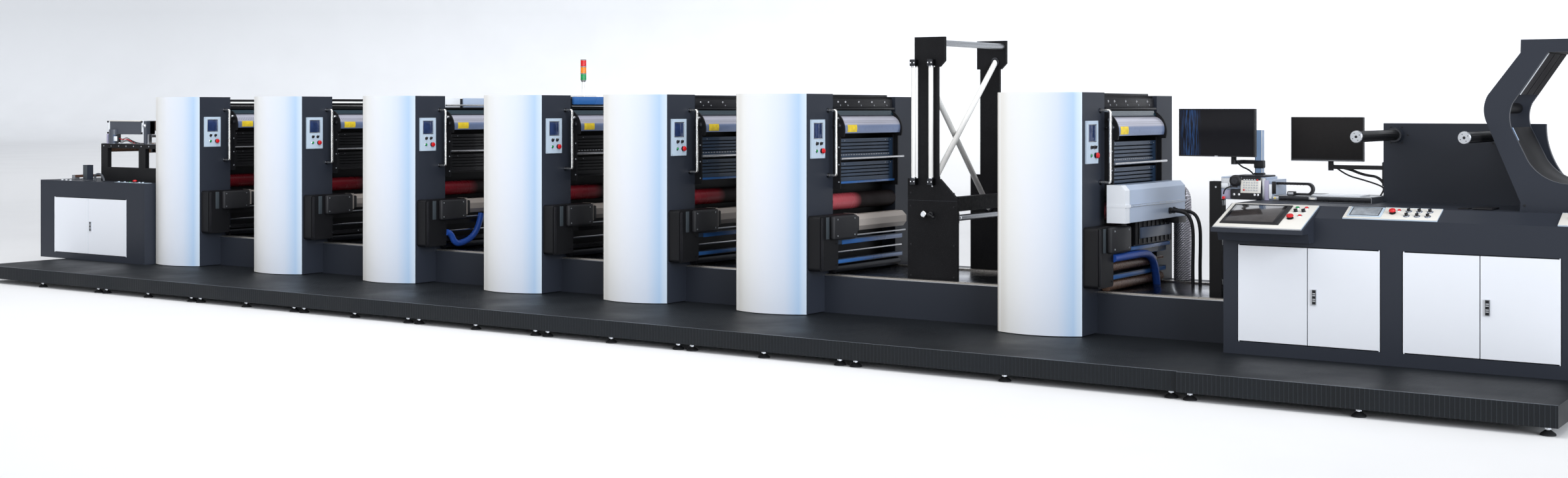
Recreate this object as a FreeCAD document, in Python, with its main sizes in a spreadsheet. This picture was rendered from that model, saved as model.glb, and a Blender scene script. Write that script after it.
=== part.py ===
import FreeCAD, Part
import os
import Sketcher

# Offset label press on a walk-on footboard: seven printing towers on one long bed,
# an infeed cabinet at the left end, a web turning frame before the last tower and
# an inspection and rewind console at the right end.
# X runs along the press, Y runs away from the operator and Z is up from the floor.

DRIVING_SIZES = {
    # footboard
    "board_top": (190, "floor to the walking surface"),
    "board_skirt": (135, "height of the skirt round each footboard section"),
    "board_front": (1240, "tower front plane to the footboard's front edge"),
    "board_sheet": (5, "thickness of the folded footboard sheet"),
    "board_seam": (0.6, "gap between two footboard sections"),
    "board_inset": (498, "left end of the infeed cabinet to the footboard's left end"),
    "first_board": (2130, "length of the first footboard section"),
    "board_length": (1540, "length of each section beside the towers"),
    "board_count": (6, "number of sections beside the towers"),
    "long_board": (2630, "length of the section before the console"),
    "end_board_step": (25, "how far the end section stands forward of the others"),
    "foot_radius": (28, "rubber pad of a levelling foot"),
    "foot_pad": (22, "height of the rubber pad"),
    "foot_stud": (10, "half the width of a six-sided levelling stud"),
    "foot_inset": (70, "levelling foot to the edge of its section"),
    # bed
    "bed_top": (500, "floor to the top of the bed"),
    "bed_front": (280, "tower front plane to the front face of the bed"),
    "back_line": (1790, "tower front plane to the back of the machine"),
    "rail_width": (70, "width of a guide rail on the bed"),
    "rail_height": (18, "height of a guide rail on the bed"),
    "rail_inset": (12, "edge of the bed's top to a guide rail"),
    # printing towers
    "bay_a": (1682, "tower pitch in the first group"),
    "bay_b": (1495, "tower pitch in the second group"),
    "bay_c": (2525, "pitch across the web turning frame"),
    "tower_top": (2060, "floor to the top of a tower"),
    "tower_width": (700, "length of a tower along the press"),
    "cover_bulge": (135, "how far the white front cover bulges at its fullest"),
    "cover_shoulder": (75, "how far the cover's rolled left edge stands out"),
    "cover_roll": (45, "radius of the rolled left edge of the cover"),
    "cover_lift": (6, "footboard to the bottom of the cover"),
    "cover_sheet": (4, "thickness of the cover"),
    "housing_depth": (410, "depth of the operator side housing"),
    "drive_front": (1460, "tower front plane to the drive side housing"),
    "drive_drop": (20, "tower top to the top of the drive side housing"),
    "core_width": (500, "length of the ink train along the press"),
    "core_back_off": (140, "right side of the tower to the ink train"),
    "core_top": (1930, "floor to the top of the ink train"),
    "top_box_height": (104, "height of the electrical box on a tower"),
    "top_box_width": (600, "length of that box along the press"),
    "guard_reach": (95, "how far the roller guards stand out past the tower's side"),
    "guard_top": (1868, "floor to the top of the perforated guard"),
    "guard_bottom": (1720, "floor to the bottom of the perforated guard"),
    "guard_sheet": (8, "thickness of a guard"),
    "guard_length": (950, "length of a guard across the press"),
    "end_plate": (14, "thickness of the plates at both ends of the guards"),
    "end_plate_top": (1905, "floor to the top of the end plates"),
    "end_plate_waist": (1690, "floor to the step under an end plate's round top"),
    "end_plate_bottom": (1245, "floor to the bottom of the end plates"),
    "end_plate_reach": (118, "how far an end plate's round top stands out"),
    "end_plate_edge": (76, "how far an end plate stands out below its round top"),
    "flap_reach": (26, "tower's side to the front of a slotted guard"),
    "flap_lip": (40, "how far the lip under a slotted guard stands out"),
    "flap_top": (1672, "floor to the top of the upper slotted guard"),
    "flap_height": (185, "height of a slotted guard"),
    "flap_pitch": (205, "upper to lower slotted guard"),
    "slot_height": (9, "height of a slot in a slotted guard"),
    "slot_pitch": (30, "one slot to the next"),
    "slot_margin": (60, "end of a slotted guard to its slots"),
    "print_roller": (72, "radius of the printing cylinder"),
    "print_roller_z": (1122, "floor to the printing cylinder's axis"),
    "rod_radius": (9, "radius of a cross rod"),
    "rod_z": (1503, "floor to the silver cross rod"),
    "low_rod_z": (700, "floor to the steel rod under the ink beam"),
    "ink_beam_z": (872, "floor to the underside of the ink beam"),
    "ink_beam_height": (138, "height of the ink beam"),
    "ink_beam_width": (118, "width of the ink beam along the press"),
    "ink_flange": (14, "thickness of the flange at the ink beam's near end"),
    "low_box_bottom": (560, "floor to the bottom of the black gear box"),
    "low_box_height": (465, "height of the black gear box"),
    "low_box_front": (20, "tower front plane to the black gear box"),
    "low_box_depth": (560, "depth of the black gear box's upper arm"),
    "low_box_column": (290, "depth of the black gear box's lower part"),
    "low_box_arm": (215, "height of the black gear box's upper arm"),
    "low_box_round": (28, "radius of the black gear box's corners"),
    "low_box_reach": (120, "how far the gear box stands out from the tower"),
    "low_bar": (40, "section of the bars under the ink beam"),
    "low_bar_z": (600, "floor to the lowest bar"),
    "mid_bar_z": (768, "floor to the middle bar"),
    "handle_bottom": (1360, "floor to the bottom leg of the grab handle"),
    "handle_top": (1918, "floor to the top leg of the grab handle"),
    "handle_reach": (85, "tower side to the grab handle's bar"),
    "handle_rod": (12, "radius of the grab handle's bar"),
    "handle_bend": (34, "radius of the grab handle's bends"),
    "handle_y": (330, "tower front plane to the grab handle"),
    "panel_y": (55, "tower front plane to the tower's control panel"),
    "panel_width": (215, "width of the tower's control panel"),
    "panel_bottom": (1510, "floor to the bottom of the tower's control panel"),
    "panel_height": (330, "height of the tower's control panel"),
    "panel_sheet": (12, "thickness of the tower's control panel"),
    # signal lamp and rail
    "lamp_box_side": (180, "length of the signal lamp's box"),
    "lamp_pole": (14, "radius of the signal lamp's pole"),
    "lamp_pole_height": (150, "length of the signal lamp's pole"),
    "lamp_ring": (28, "radius of a signal lamp"),
    "lamp_ring_height": (68, "height of a signal lamp"),
    "rail_bar": (30, "section of the overhead rail"),
    "rail_bar_z": (1945, "floor to the overhead rail"),
    "rail_bar_y": (1180, "tower front plane to the overhead rail"),
    # web turning frame
    "turner_left": (11468, "left end of the infeed cabinet to the turning frame"),
    "turner_near": (400, "tower front plane to the near plate"),
    "turner_far": (1500, "tower front plane to the far plate"),
    "turner_plate": (32, "thickness of the frame plates"),
    "turner_base": (470, "width of a frame plate's base"),
    "turner_base_top": (1350, "floor to the top of the base"),
    "turner_chamfer": (165, "chamfer on the base's right shoulder"),
    "turner_post": (190, "width of a frame plate's post"),
    "turner_post_x": (97, "left edge of the base to the post"),
    "turner_head": (286, "width of a frame plate's head"),
    "turner_head_x": (65, "left edge of the base to the head"),
    "turner_head_z": (2280, "floor to the underside of the head"),
    "turner_head_chamfer": (50, "chamfer under the head"),
    "turner_top": (2530, "floor to the top of the turning frame"),
    "turn_bar": (24, "radius of a turn bar"),
    "turn_bar_a_x": (248, "left edge of the base to the first turn bar"),
    "turn_bar_a_near": (1356, "floor to the first turn bar at the near plate"),
    "turn_bar_a_far": (2342, "floor to the first turn bar at the far plate"),
    "turn_bar_b_x": (185, "left edge of the base to the second turn bar"),
    "turn_bar_b_near": (2171, "floor to the second turn bar at the near plate"),
    "turn_bar_b_far": (1055, "floor to the second turn bar at the far plate"),
    "guide_rod": (20, "radius of a vertical guide rod"),
    "guide_rod_x": (75, "left edge of the base to the first guide rod"),
    "guide_rod_pitch": (165, "first guide rod to the second"),
    "rod_clamp": (50, "height of a guide rod's clamp"),
    "cross_roller": (26, "radius of the frame's rollers"),
    "cross_beam_width": (60, "width of the turning frame's cross beam"),
    "cross_beam_height": (120, "height of the turning frame's cross beam"),
    "cross_beam_z": (1085, "floor to the underside of the cross beam"),
    "low_roller_z": (1030, "floor to the turning frame's lower roller"),
    "gauge_x": (170, "left edge of the base to the adjusting knob"),
    "gauge_z": (1056, "floor to the adjusting knob"),
    "gauge_radius": (22, "radius of the adjusting knob"),
    "gauge_depth": (30, "length of the adjusting knob"),
    # infeed cabinet
    "cabinet_length": (1978, "length of the infeed cabinet"),
    "cabinet_front": (200, "infeed cabinet's front face forward of the tower plane"),
    "cabinet_top": (1095, "floor to the top of the infeed cabinet"),
    "cabinet_wall": (20, "wall of both cabinets"),
    "door_sheet": (18, "thickness of a cabinet door"),
    "door_gap": (7, "gap round a cabinet door"),
    "hinge_pin": (4, "radius of a door's hinge pins"),
    "hinge_play": (0.3, "gap between a hinge pin and the cabinet"),
    "infeed_door_z": (258, "floor to the bottom of the infeed cabinet's doors"),
    "infeed_door_height": (648, "height of those doors"),
    "infeed_door_x": (270, "left end of the infeed cabinet to its doors"),
    "infeed_door_a": (663, "width of the infeed cabinet's left door"),
    "infeed_door_end": (328, "right door to the right end of the infeed cabinet"),
    "pull_width": (30, "width of a door pull"),
    "pull_height": (105, "height of a door pull"),
    "pull_depth": (9, "how far a door pull stands out"),
    "infeed_frame_length": (1150, "length of the infeed frame, up to the first tower"),
    "infeed_frame_top": (1525, "floor to the top of the infeed frame"),
    "infeed_frame_near": (40, "tower front plane to the near side of the infeed frame"),
    "infeed_frame_far": (1240, "tower front plane to the far side of the infeed frame"),
    "infeed_post": (125, "width of an infeed frame post"),
    "infeed_window": (580, "width of the first window in the infeed frame"),
    "infeed_end_post": (40, "width of the infeed frame's post at the tower"),
    "infeed_plate": (50, "thickness of the infeed frame's sides"),
    "infeed_sill": (160, "height of the infeed frame's lower beam"),
    "infeed_head": (50, "height of the infeed frame's upper beam"),
    "guide_box_x": (138, "left end of the infeed frame to the web guide box"),
    "guide_box_z": (1640, "floor to the underside of the web guide box"),
    "guide_box_height": (150, "height of the web guide box"),
    "guide_box_length": (660, "length of the web guide box"),
    "guide_box_depth": (150, "depth of the web guide box"),
    "guide_motor": (52, "radius of the web guide's motor"),
    "guide_plate": (50, "width of the plate that carries the upper rollers"),
    "infeed_roller": (48, "radius of the rollers on the infeed frame"),
    "upper_roller": (60, "radius of the roller beside the web guide box"),
    "upper_roller_z": (1735, "floor to that roller"),
    "splice_bar_x": (258, "left end of the infeed cabinet to the splice bar"),
    "splice_bar_width": (60, "width of the splice bar"),
    "splice_bar_height": (28, "height of the splice bar"),
    "splice_bar_foot": (24, "height of the feet under the splice bar"),
    "upright_x": (610, "left end of the infeed cabinet to the upright on it"),
    "upright_y": (50, "how far the upright stands forward of the tower plane"),
    "upright_side": (80, "width of that upright"),
    "upright_height": (180, "height of that upright"),
    # inspection and rewind console
    "console_left": (14428, "left end of the infeed cabinet to the console"),
    "console_length": (2430, "length of the console"),
    "console_front": (200, "console's front face forward of the tower plane"),
    "console_lip": (1175, "floor to the front top edge of the console"),
    "console_deck": (1250, "floor to the console's deck"),
    "console_slope": (170, "depth of the console's sloped top"),
    "console_door_z": (280, "floor to the bottom of the console's doors"),
    "console_door_height": (690, "height of those doors"),
    "console_door_x": (102, "console's left end to its first door"),
    "console_door_mid": (141, "first pair of doors to the second pair"),
    "console_door_end": (179, "last door to the console's right end"),
    "desk_length": (650, "length of the overhanging desk"),
    "desk_reach": (250, "how far that desk stands forward of the console"),
    "desk_front_z": (1098, "floor to the front edge of that desk"),
    "desk_sheet": (28, "thickness of that desk"),
    "desk_box_drop": (95, "depth of the box under that desk"),
    "side_desk_x": (845, "console's left end to the second control panel"),
    "side_desk_length": (630, "length of the second control panel"),
    "small_desk_end": (55, "third control panel to the console's right end"),
    "small_desk_length": (150, "length of the third control panel"),
    "console_panel_sheet": (8, "thickness of the control panels"),
    "panel_margin": (12, "edge of the desk to its control panel"),
    "screen_sheet": (8, "thickness of a screen's frame on a panel"),
    "board_left": (846, "console's left end to the rewind backboard"),
    "board_y": (800, "tower front plane to the rewind backboard"),
    "board_plate": (40, "thickness of the rewind backboard"),
    "board_edge": (1827, "floor to the top of the rewind backboard"),
    "board_corner": (468, "console's right end to the backboard's top corner"),
    "shaft_a_x": (940, "console's left end to the first rewind shaft"),
    "shaft_b_end": (781, "second rewind shaft to the console's right end"),
    "shaft_z": (1741, "floor to the rewind shafts"),
    "shaft_tip": (200, "rewind shaft's tip forward of the tower plane"),
    "shaft_radius": (38, "radius of a rewind shaft"),
    "shaft_cap": (42, "radius of a rewind shaft's end cap"),
    "shaft_cap_length": (14, "length of that cap"),
    "shaft_collar": (55, "radius of a rewind shaft's collar"),
    "shaft_collar_length": (70, "length of that collar"),
    "shaft_clearance": (0.3, "gap between a turning shaft and its collar"),
    "shaft_journal": (30, "radius of a rewind shaft where it runs in its collar"),
    # roll guard
    "guard_length_x": (720, "leftmost point of the roll guard to the console's right end"),
    "guard_near": (80, "tower front plane to the roll guard's near plate"),
    "guard_far": (690, "tower front plane to the roll guard's far plate"),
    "guard_plate": (30, "thickness of the roll guard's plates"),
    "guard_wall": (14, "thickness of the walls between the roll guard's plates"),
    "guard_crown": (2394, "floor to the top of the roll guard"),
    "guard_arm": (86, "height of the roll guard's upper arm"),
    "guard_throat": (1937, "floor to the roll guard's waist"),
    # inspection station
    "station_post_x": (14058, "left end of the infeed cabinet to the inspection post"),
    "station_y": (500, "tower front plane to the inspection post"),
    "station_post": (95, "width of the inspection post"),
    "station_top": (1383, "floor to the top of the inspection post"),
    "head_x": (14189, "left end of the infeed cabinet to the inspection head"),
    "head_length": (300, "length of the inspection head"),
    "head_height": (170, "height of the inspection head"),
    "slide_length": (70, "length of the slide beside the inspection head"),
    "keypad_x": (14315, "left end of the infeed cabinet to the keypad"),
    "keypad_width": (150, "width of the keypad"),
    "keypad_height": (120, "height of the keypad"),
    "keypad_lean": (30, "how far the keypad leans back"),
    "table_near": (500, "tower front plane to the web table"),
    "table_height": (40, "deck to the top of the web table"),
    "chain_length": (230, "length of the cable chain's straight part"),
    "chain_height": (96, "height of the cable chain's loop"),
    "chain_band": (18, "thickness of the cable chain"),
    "chain_width": (45, "width of the cable chain"),
    "mast_side": (52, "section of the monitor mast"),
    "mast_top": (1770, "floor to the top of the monitor mast"),
    "screen_a_x": (13833, "left end of the infeed cabinet to the first monitor"),
    "screen_a_length": (593, "width of the first monitor"),
    "screen_a_height": (360, "height of the first monitor"),
    "screen_a_z": (1572, "floor to the bottom of the first monitor"),
    "screen_b_x": (14602, "left end of the infeed cabinet to the second monitor"),
    "screen_b_length": (536, "width of the second monitor"),
    "screen_b_height": (328, "height of the second monitor"),
    "screen_b_z": (1542, "floor to the bottom of the second monitor"),
    "screen_depth": (38, "thickness of a monitor"),
    "mast_x": (14335, "left end of the infeed cabinet to the monitor mast"),
    "mast_y": (725, "tower front plane to the monitor mast"),
    "pivot_a_x": (14228, "left end of the infeed cabinet to the first monitor's pivot"),
    "pivot_reach": (60, "back of a monitor to its pivot"),
    "pivot_radius": (20, "radius of a monitor pivot"),
    "pivot_height": (50, "height of a monitor pivot"),
    "pivot_play": (0.3, "gap between the two halves of a monitor pivot"),
    "arm_side": (30, "section of a monitor arm"),
    "arm_drop": (60, "underside of a monitor to the underside of its arm"),
    # ultraviolet lamp on tower 7
    "uv_box_front": (300, "tower front plane to the lamp box's near end"),
    "uv_box_end": (1510, "tower front plane to the lamp box's far end"),
    "uv_box_length": (150, "length of the lamp box along the press"),
    "uv_box_z": (1050, "floor to the underside of the lamp box"),
    "uv_box_height": (290, "height of the lamp box"),
    "uv_box_chamfer": (38, "chamfer along the lamp box's top"),
    "uv_box_rib": (9, "how far the rib round the lamp box stands out"),
    "duct_radius": (70, "radius of the lamp's exhaust duct"),
    "duct_bend": (110, "radius of the duct's bend"),
    "duct_mouth_z": (1237, "floor to the middle of the duct's mouth"),
    "cassette_inset": (20, "tower's side to the black box under the lamp box"),
    "cassette_near": (700, "tower front plane to the near end of that box"),
    "cassette_z": (846, "floor to the underside of that box"),
    "hose_radius": (34, "radius of a hose on a tower"),
    "hose_bend": (245, "radius of the bend in tower 7's hose"),
    "hose_length": (630, "level part of tower 7's hose"),
    "hose_z": (775, "floor to the level part of tower 7's hose"),
    "loop_z": (690, "floor to the start of tower 3's hose"),
    "loop_bend": (60, "radius of the first two bends in tower 3's hose"),
    "loop_run": (60, "level part at the bottom of tower 3's hose"),
    "loop_rise": (290, "radius of the last bend in tower 3's hose"),
    "hose_run": (30, "straight part at the start of a hose or cable"),
    "cable_radius": (15, "radius of the lamp's supply cables"),
    "cable_bend": (170, "radius of the bend in a supply cable"),
    "cable_y": (1180, "tower front plane to the first supply cable"),
    "cable_pitch": (80, "one supply cable to the next"),
}

doc = FreeCAD.newDocument("LabelPress")
sheet = doc.addObject("Spreadsheet::Sheet", "Sizes")


class Size:
    """A length that knows its value in mm and the sheet formula it comes from."""

    def __init__(self, value, formula):
        self.value = value
        self.formula = formula

    def __add__(self, other):
        return joined(self, "+", other)

    def __radd__(self, other):
        return joined(other, "+", self)

    def __sub__(self, other):
        return joined(self, "-", other)

    def __rsub__(self, other):
        return joined(other, "-", self)

    def __mul__(self, other):
        return joined(self, "*", other)

    def __rmul__(self, other):
        return joined(other, "*", self)

    def __truediv__(self, other):
        return joined(self, "/", other)

    def __neg__(self):
        return joined(0, "-", self)


def as_size(number):
    """Gives a bare number the same form as a size of the sheet."""
    if isinstance(number, Size):
        return number
    return Size(float(number), "%.6g" % number if number >= 0 else "(0 - %.6g)" % -number)


def root_of(size):
    """The square root of a size."""
    return Size(size.value ** 0.5, "sqrt(%s)" % size.formula)


def joined(left, sign, right):
    """Works out one step of a formula and keeps its text."""
    left = as_size(left)
    right = as_size(right)
    results = {
        "+": lambda a, b: a + b,
        "-": lambda a, b: a - b,
        "*": lambda a, b: a * b,
        "/": lambda a, b: a / b,
    }
    value = results[sign](left.value, right.value)
    return Size(value, "(%s %s %s)" % (left.formula, sign, right.formula))


class SheetSizes:
    """Reads the driving sizes by name."""

    def __getattr__(self, name):
        return Size(float(DRIVING_SIZES[name][0]), "Sizes." + name)


def write_sheet():
    """Writes each driving size on a row of the sheet with its name and its meaning."""
    for row, (name, (value, meaning)) in enumerate(DRIVING_SIZES.items(), start=1):
        sheet.set("A%d" % row, name)
        sheet.set("B%d" % row, str(value))
        sheet.set("C%d" % row, meaning)
        sheet.setAlias("B%d" % row, name)
    doc.recompute()


S = SheetSizes()
write_sheet()

# The model's origin is on the floor in the middle of the machine.
PRESS_LENGTH = S.console_left + S.console_length
FRONT_EDGE = S.board_front + S.end_board_step


def at_x(station):
    """A distance from the left end of the infeed cabinet, in the model's frame."""
    return station - PRESS_LENGTH / 2


def at_y(depth):
    """A distance behind the tower front plane, in the model's frame."""
    return depth - (S.back_line - FRONT_EDGE) / 2


NODES = []


def node(shape_object, label):
    """Names a finished sub-part, which is written to its own file."""
    shape_object.Label = label
    NODES.append(shape_object)
    return shape_object


def bind(feature, **sizes):
    """Ties properties of a feature to formulas of the sheet."""
    for name, size in sizes.items():
        feature.setExpression(name, as_size(size).formula)


def place(feature, x, y, z):
    """Ties a feature's position to the sheet."""
    feature.setExpression("Placement.Base.x", as_size(x).formula)
    feature.setExpression("Placement.Base.y", as_size(y).formula)
    feature.setExpression("Placement.Base.z", as_size(z).formula)


def box(name, x, y, z, length, width, height):
    """A block with its low corner at a point."""
    block = doc.addObject("Part::Box", name)
    bind(block, Length=length, Width=width, Height=height)
    place(block, x, y, z)
    return block


AXIS_TURNS = {
    "z": FreeCAD.Rotation(),
    "y": FreeCAD.Rotation(FreeCAD.Vector(1, 0, 0), -90),
    "x": FreeCAD.Rotation(FreeCAD.Vector(0, 1, 0), 90),
}


def round_bar(name, x, y, z, radius, length, axis):
    """A round bar that starts at a point and runs along an axis."""
    bar = doc.addObject("Part::Cylinder", name)
    bar.Placement.Rotation = AXIS_TURNS[axis]
    bind(bar, Radius=radius, Height=length)
    place(bar, x, y, z)
    return bar


def slanted_bar(name, x, near, far, radius):
    """A round bar in an upright plane across the press, flush with a plate at both ends.

    The ends are given as (y, z).
    """
    run = far[0] - near[0]
    rise = far[1] - near[1]
    long_bar = doc.addObject("Part::Cylinder", name + "Long")
    long_bar.Placement.Rotation = FreeCAD.Rotation(FreeCAD.Vector(1, 0, 0), -30)
    bind(long_bar, Radius=radius, Height=1.2 * root_of(run * run + rise * rise))
    place(long_bar, x, near[0] - 0.1 * run, near[1] - 0.1 * rise)
    slope = as_size(rise / run).formula
    long_bar.setExpression("Placement.Rotation.Angle", "atan(%s) - 90 deg" % slope)
    between = box(name + "Between", x - 2 * radius, near[0], 0, 4 * radius, run, S.turner_top)
    bar = doc.addObject("Part::Common", name)
    bar.Base = long_bar
    bar.Tool = between
    return bar


def cut(name, base, tool):
    """One shape with another taken out."""
    result = doc.addObject("Part::Cut", name)
    result.Base = base
    result.Tool = tool
    return result


def fuse(name, shapes):
    """Several shapes grown into one."""
    result = doc.addObject("Part::MultiFuse", name)
    result.Shapes = shapes
    return result


def group(name, shapes):
    """Several separate solids kept in one sub-part."""
    result = doc.addObject("Part::Compound", name)
    result.Links = shapes
    return result


def origin_plane(body, role):
    """One of a body's own origin planes."""
    for feature in body.Origin.OriginFeatures:
        if feature.Role == role:
            return feature
    raise ValueError("no plane " + role)


def constrain_point(sketch, geometry, end, point):
    """Ties one point of a sketch to the sheet, measured from the sketch's origin."""
    for kind, size in (("DistanceX", point[0]), ("DistanceY", point[1])):
        size = as_size(size)
        index = sketch.addConstraint(
            Sketcher.Constraint(kind, -1, 1, geometry, end, size.value))
        sketch.setExpression("Constraints[%d]" % index, size.formula)


def nearest_end(sketch, geometry, point):
    """Which end of an arc or line lies at a point."""
    start = sketch.getPoint(geometry, 1)
    gap = (start - point).Length
    return 1 if gap < 1e-6 else 2


def vector(point):
    """A sketch point as numbers."""
    return FreeCAD.Vector(as_size(point[0]).value, as_size(point[1]).value, 0)


def draw_outline(sketch, outline, closed=True):
    """Draws an outline of corners, closed or as an open path.

    A corner is (x, y), or (x, y, (x, y)) where an arc through the inner point
    leads to the next corner.
    """
    count = len(outline)
    corners = [vector(corner) for corner in outline]
    edges = []
    for index, corner in enumerate(outline if closed else outline[:-1]):
        start = corners[index]
        end = corners[(index + 1) % count]
        if len(corner) == 3:
            arc = Part.Arc(start, vector(corner[2]), end)
            edge = sketch.addGeometry(arc, False)
            middle = sketch.addGeometry(Part.Point(vector(corner[2])), True)
            constrain_point(sketch, middle, 1, corner[2])
            sketch.addConstraint(Sketcher.Constraint("PointOnObject", middle, 1, edge))
        else:
            edge = sketch.addGeometry(Part.LineSegment(start, end), False)
        edges.append(edge)
    for index, edge in enumerate(edges if closed else edges[:-1]):
        following = edges[(index + 1) % count]
        meeting = corners[(index + 1) % count]
        sketch.addConstraint(Sketcher.Constraint(
            "Coincident", edge, nearest_end(sketch, edge, meeting),
            following, nearest_end(sketch, following, meeting)))
    for index, corner in enumerate(outline):
        edge = edges[min(index, len(edges) - 1)]
        end = nearest_end(sketch, edge, corners[index])
        constrain_point(sketch, edge, end, corner)


def body_sketch(body, role, outline, offset=0):
    """A closed sketch on one of a body's origin planes."""
    sketch = body.newObject("Sketcher::SketchObject", body.Name + "Sketch")
    sketch.AttachmentSupport = (origin_plane(body, role), [""])
    sketch.MapMode = "FlatFace"
    sketch.setExpression("AttachmentOffset.Base.z", as_size(offset).formula)
    draw_outline(sketch, outline)
    return sketch


def new_body(name, x, y, z):
    """A body whose own origin lies at a point of the model."""
    body = doc.addObject("PartDesign::Body", name)
    place(body, x, y, z)
    return body


def pad(body, sketch, length, reverse=False):
    """Raises a sketch to a solid."""
    feature = body.newObject("PartDesign::Pad", body.Name + "Pad")
    feature.Profile = sketch
    feature.Reversed = reverse
    bind(feature, Length=length)
    return feature


def pocket(body, sketch, length, reverse=False):
    """Cuts a sketch out of a solid."""
    feature = body.newObject("PartDesign::Pocket", body.Name + "Pocket")
    feature.Profile = sketch
    feature.Reversed = reverse
    bind(feature, Length=length)
    return feature


def rectangle(x, y, width, height):
    """The corners of a rectangle."""
    return [(x, y), (x + width, y), (x + width, y + height), (x, y + height)]


def hose(name, start, radius, planes, path):
    """A round tube along a path of straight runs from its start.

    The planes are the one its round section lies on and the one its path lies on.
    """
    body = new_body(name, at_x(start[0]), at_y(start[1]), start[2])
    profile = body.newObject("Sketcher::SketchObject", name + "Profile")
    profile.AttachmentSupport = (origin_plane(body, planes[0]), [""])
    profile.MapMode = "FlatFace"
    circle = profile.addGeometry(
        Part.Circle(FreeCAD.Vector(0, 0, 0), FreeCAD.Vector(0, 0, 1), radius.value), False)
    profile.addConstraint(Sketcher.Constraint("Coincident", circle, 3, -1, 1))
    index = profile.addConstraint(Sketcher.Constraint("Radius", circle, radius.value))
    profile.setExpression("Constraints[%d]" % index, radius.formula)
    line = body.newObject("Sketcher::SketchObject", name + "Line")
    line.AttachmentSupport = (origin_plane(body, planes[1]), [""])
    line.MapMode = "FlatFace"
    draw_outline(line, path, closed=False)
    pipe = body.newObject("PartDesign::AdditivePipe", name + "Pipe")
    pipe.Profile = profile
    pipe.Spine = line
    pipe.Transition = "Right corner"
    return body


def bend_down(run, bend, drop):
    """A path that runs level, bends down in four turns and ends below its start."""
    return [
        (0, 0),
        (run, 0),
        (run + bend * 0.5, bend * -0.134),
        (run + bend * 0.866, bend * -0.5),
        (run + bend, -bend),
        (run + bend, -drop),
    ]


def sagging_loop(run, bend, level, rise):
    """A path that runs level, sags to its lowest stretch and rises again."""
    bottom = run + 2 * bend
    end = bottom + level
    return [
        (0, 0),
        (run, 0),
        (run + bend * 0.8, bend * -0.6),
        (run + bend * 1.2, bend * -1.4),
        (bottom, -2 * bend),
        (end, -2 * bend),
        (end + rise * 0.5, rise * 0.134 - 2 * bend),
        (end + rise * 0.866, rise * 0.5 - 2 * bend),
        (end + rise, rise - 2 * bend),
    ]


# Stations of the right side of each tower, from the left end of the infeed cabinet.
TOWERS = [S.cabinet_length + S.tower_width]
for pitch in (S.bay_a, S.bay_a, S.bay_a, S.bay_b, S.bay_b, S.bay_c):
    TOWERS.append(TOWERS[-1] + pitch)

# Stations of the two rewind shafts.
SHAFT_A = S.console_left + S.shaft_a_x
SHAFT_B = PRESS_LENGTH - S.shaft_b_end


# Footboard
def board_shell(name, x, length, front, back):
    """One folded section: a deck with a skirt all round, open below."""
    skirt_z = S.board_top - S.board_skirt
    outer = box(name + "Outer", at_x(x), at_y(-front), skirt_z, length, front + back, S.board_skirt)
    inner = box(
        name + "Inner", at_x(x + S.board_sheet), at_y(S.board_sheet - front), skirt_z,
        length - 2 * S.board_sheet, front + back - 2 * S.board_sheet,
        S.board_skirt - S.board_sheet)
    return cut(name, outer, inner)


def footboard_sections():
    """Where each section starts, how long it is and how far forward it stands."""
    sections = [(S.board_inset, S.first_board, S.board_front)]
    x = S.board_inset + S.first_board
    for _ in range(int(S.board_count.value)):
        sections.append((x, S.board_length, S.board_front))
        x = x + S.board_length
    sections.append((x, S.long_board, S.board_front))
    x = x + S.long_board
    sections.append((x, PRESS_LENGTH - x, FRONT_EDGE))
    return sections


def make_footboard():
    """Nine sections end to end, from the front edge to the bed."""
    shells = []
    for index, (x, length, front) in enumerate(footboard_sections()):
        shell = board_shell("Board%d" % (index + 1), x, length - S.board_seam, front, S.bed_front)
        shells.append(shell)
    node(group("Footboard", shells), "footboard")


def levelling_foot(name, x, y):
    """A rubber pad with a six-sided steel stud up to the section's deck."""
    pieces = []
    for tag, sides, radius, bottom, top in (
            ("Pad", 12, S.foot_radius, as_size(0), S.foot_pad),
            ("Stud", 6, S.foot_stud, S.foot_pad, S.board_top - S.board_sheet)):
        piece = doc.addObject("Part::Prism", name + tag)
        piece.Polygon = sides
        bind(piece, Circumradius=radius, Height=top - bottom)
        place(piece, x, y, bottom)
        pieces.append(piece)
    return fuse(name, pieces)


def make_footboard_feet():
    """Feet at both ends and the middle of each section; the bed carries its back edge."""
    feet = []
    for section, (x, length, front) in enumerate(footboard_sections()):
        stations = (x + S.foot_inset, x + length / 2, x + length - S.foot_inset)
        for place_index, station in enumerate(stations):
            name = "Foot%d_%d" % (section + 1, place_index + 1)
            feet.append(levelling_foot(name, at_x(station), at_y(S.foot_inset - front)))
    node(group("FootboardFeet", feet), "footboard_feet")


# Bed
def make_bed():
    """The long closed bed that carries every tower."""
    length = S.console_left - S.cabinet_length
    bed = box("Bed", at_x(S.cabinet_length), at_y(S.bed_front), 0,
              length, S.back_line - S.bed_front, S.bed_top)
    node(bed, "bed")


def make_bed_rails():
    """Two flat rails on the bed in each bay between towers and before the console."""
    starts = TOWERS
    ends = [right - S.tower_width for right in TOWERS[1:]] + [S.console_left]
    rails = []
    for number, (start, end) in enumerate(zip(starts, ends), start=1):
        for tag, depth in (("Front", S.bed_front + S.rail_inset),
                           ("Back", S.drive_front - S.rail_inset - S.rail_width)):
            rails.append(box(
                "Rail%s%d" % (tag, number), at_x(start), at_y(depth), S.bed_top,
                end - start, S.rail_width, S.rail_height))
    node(group("BedRails", rails), "bed_rails")


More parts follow.
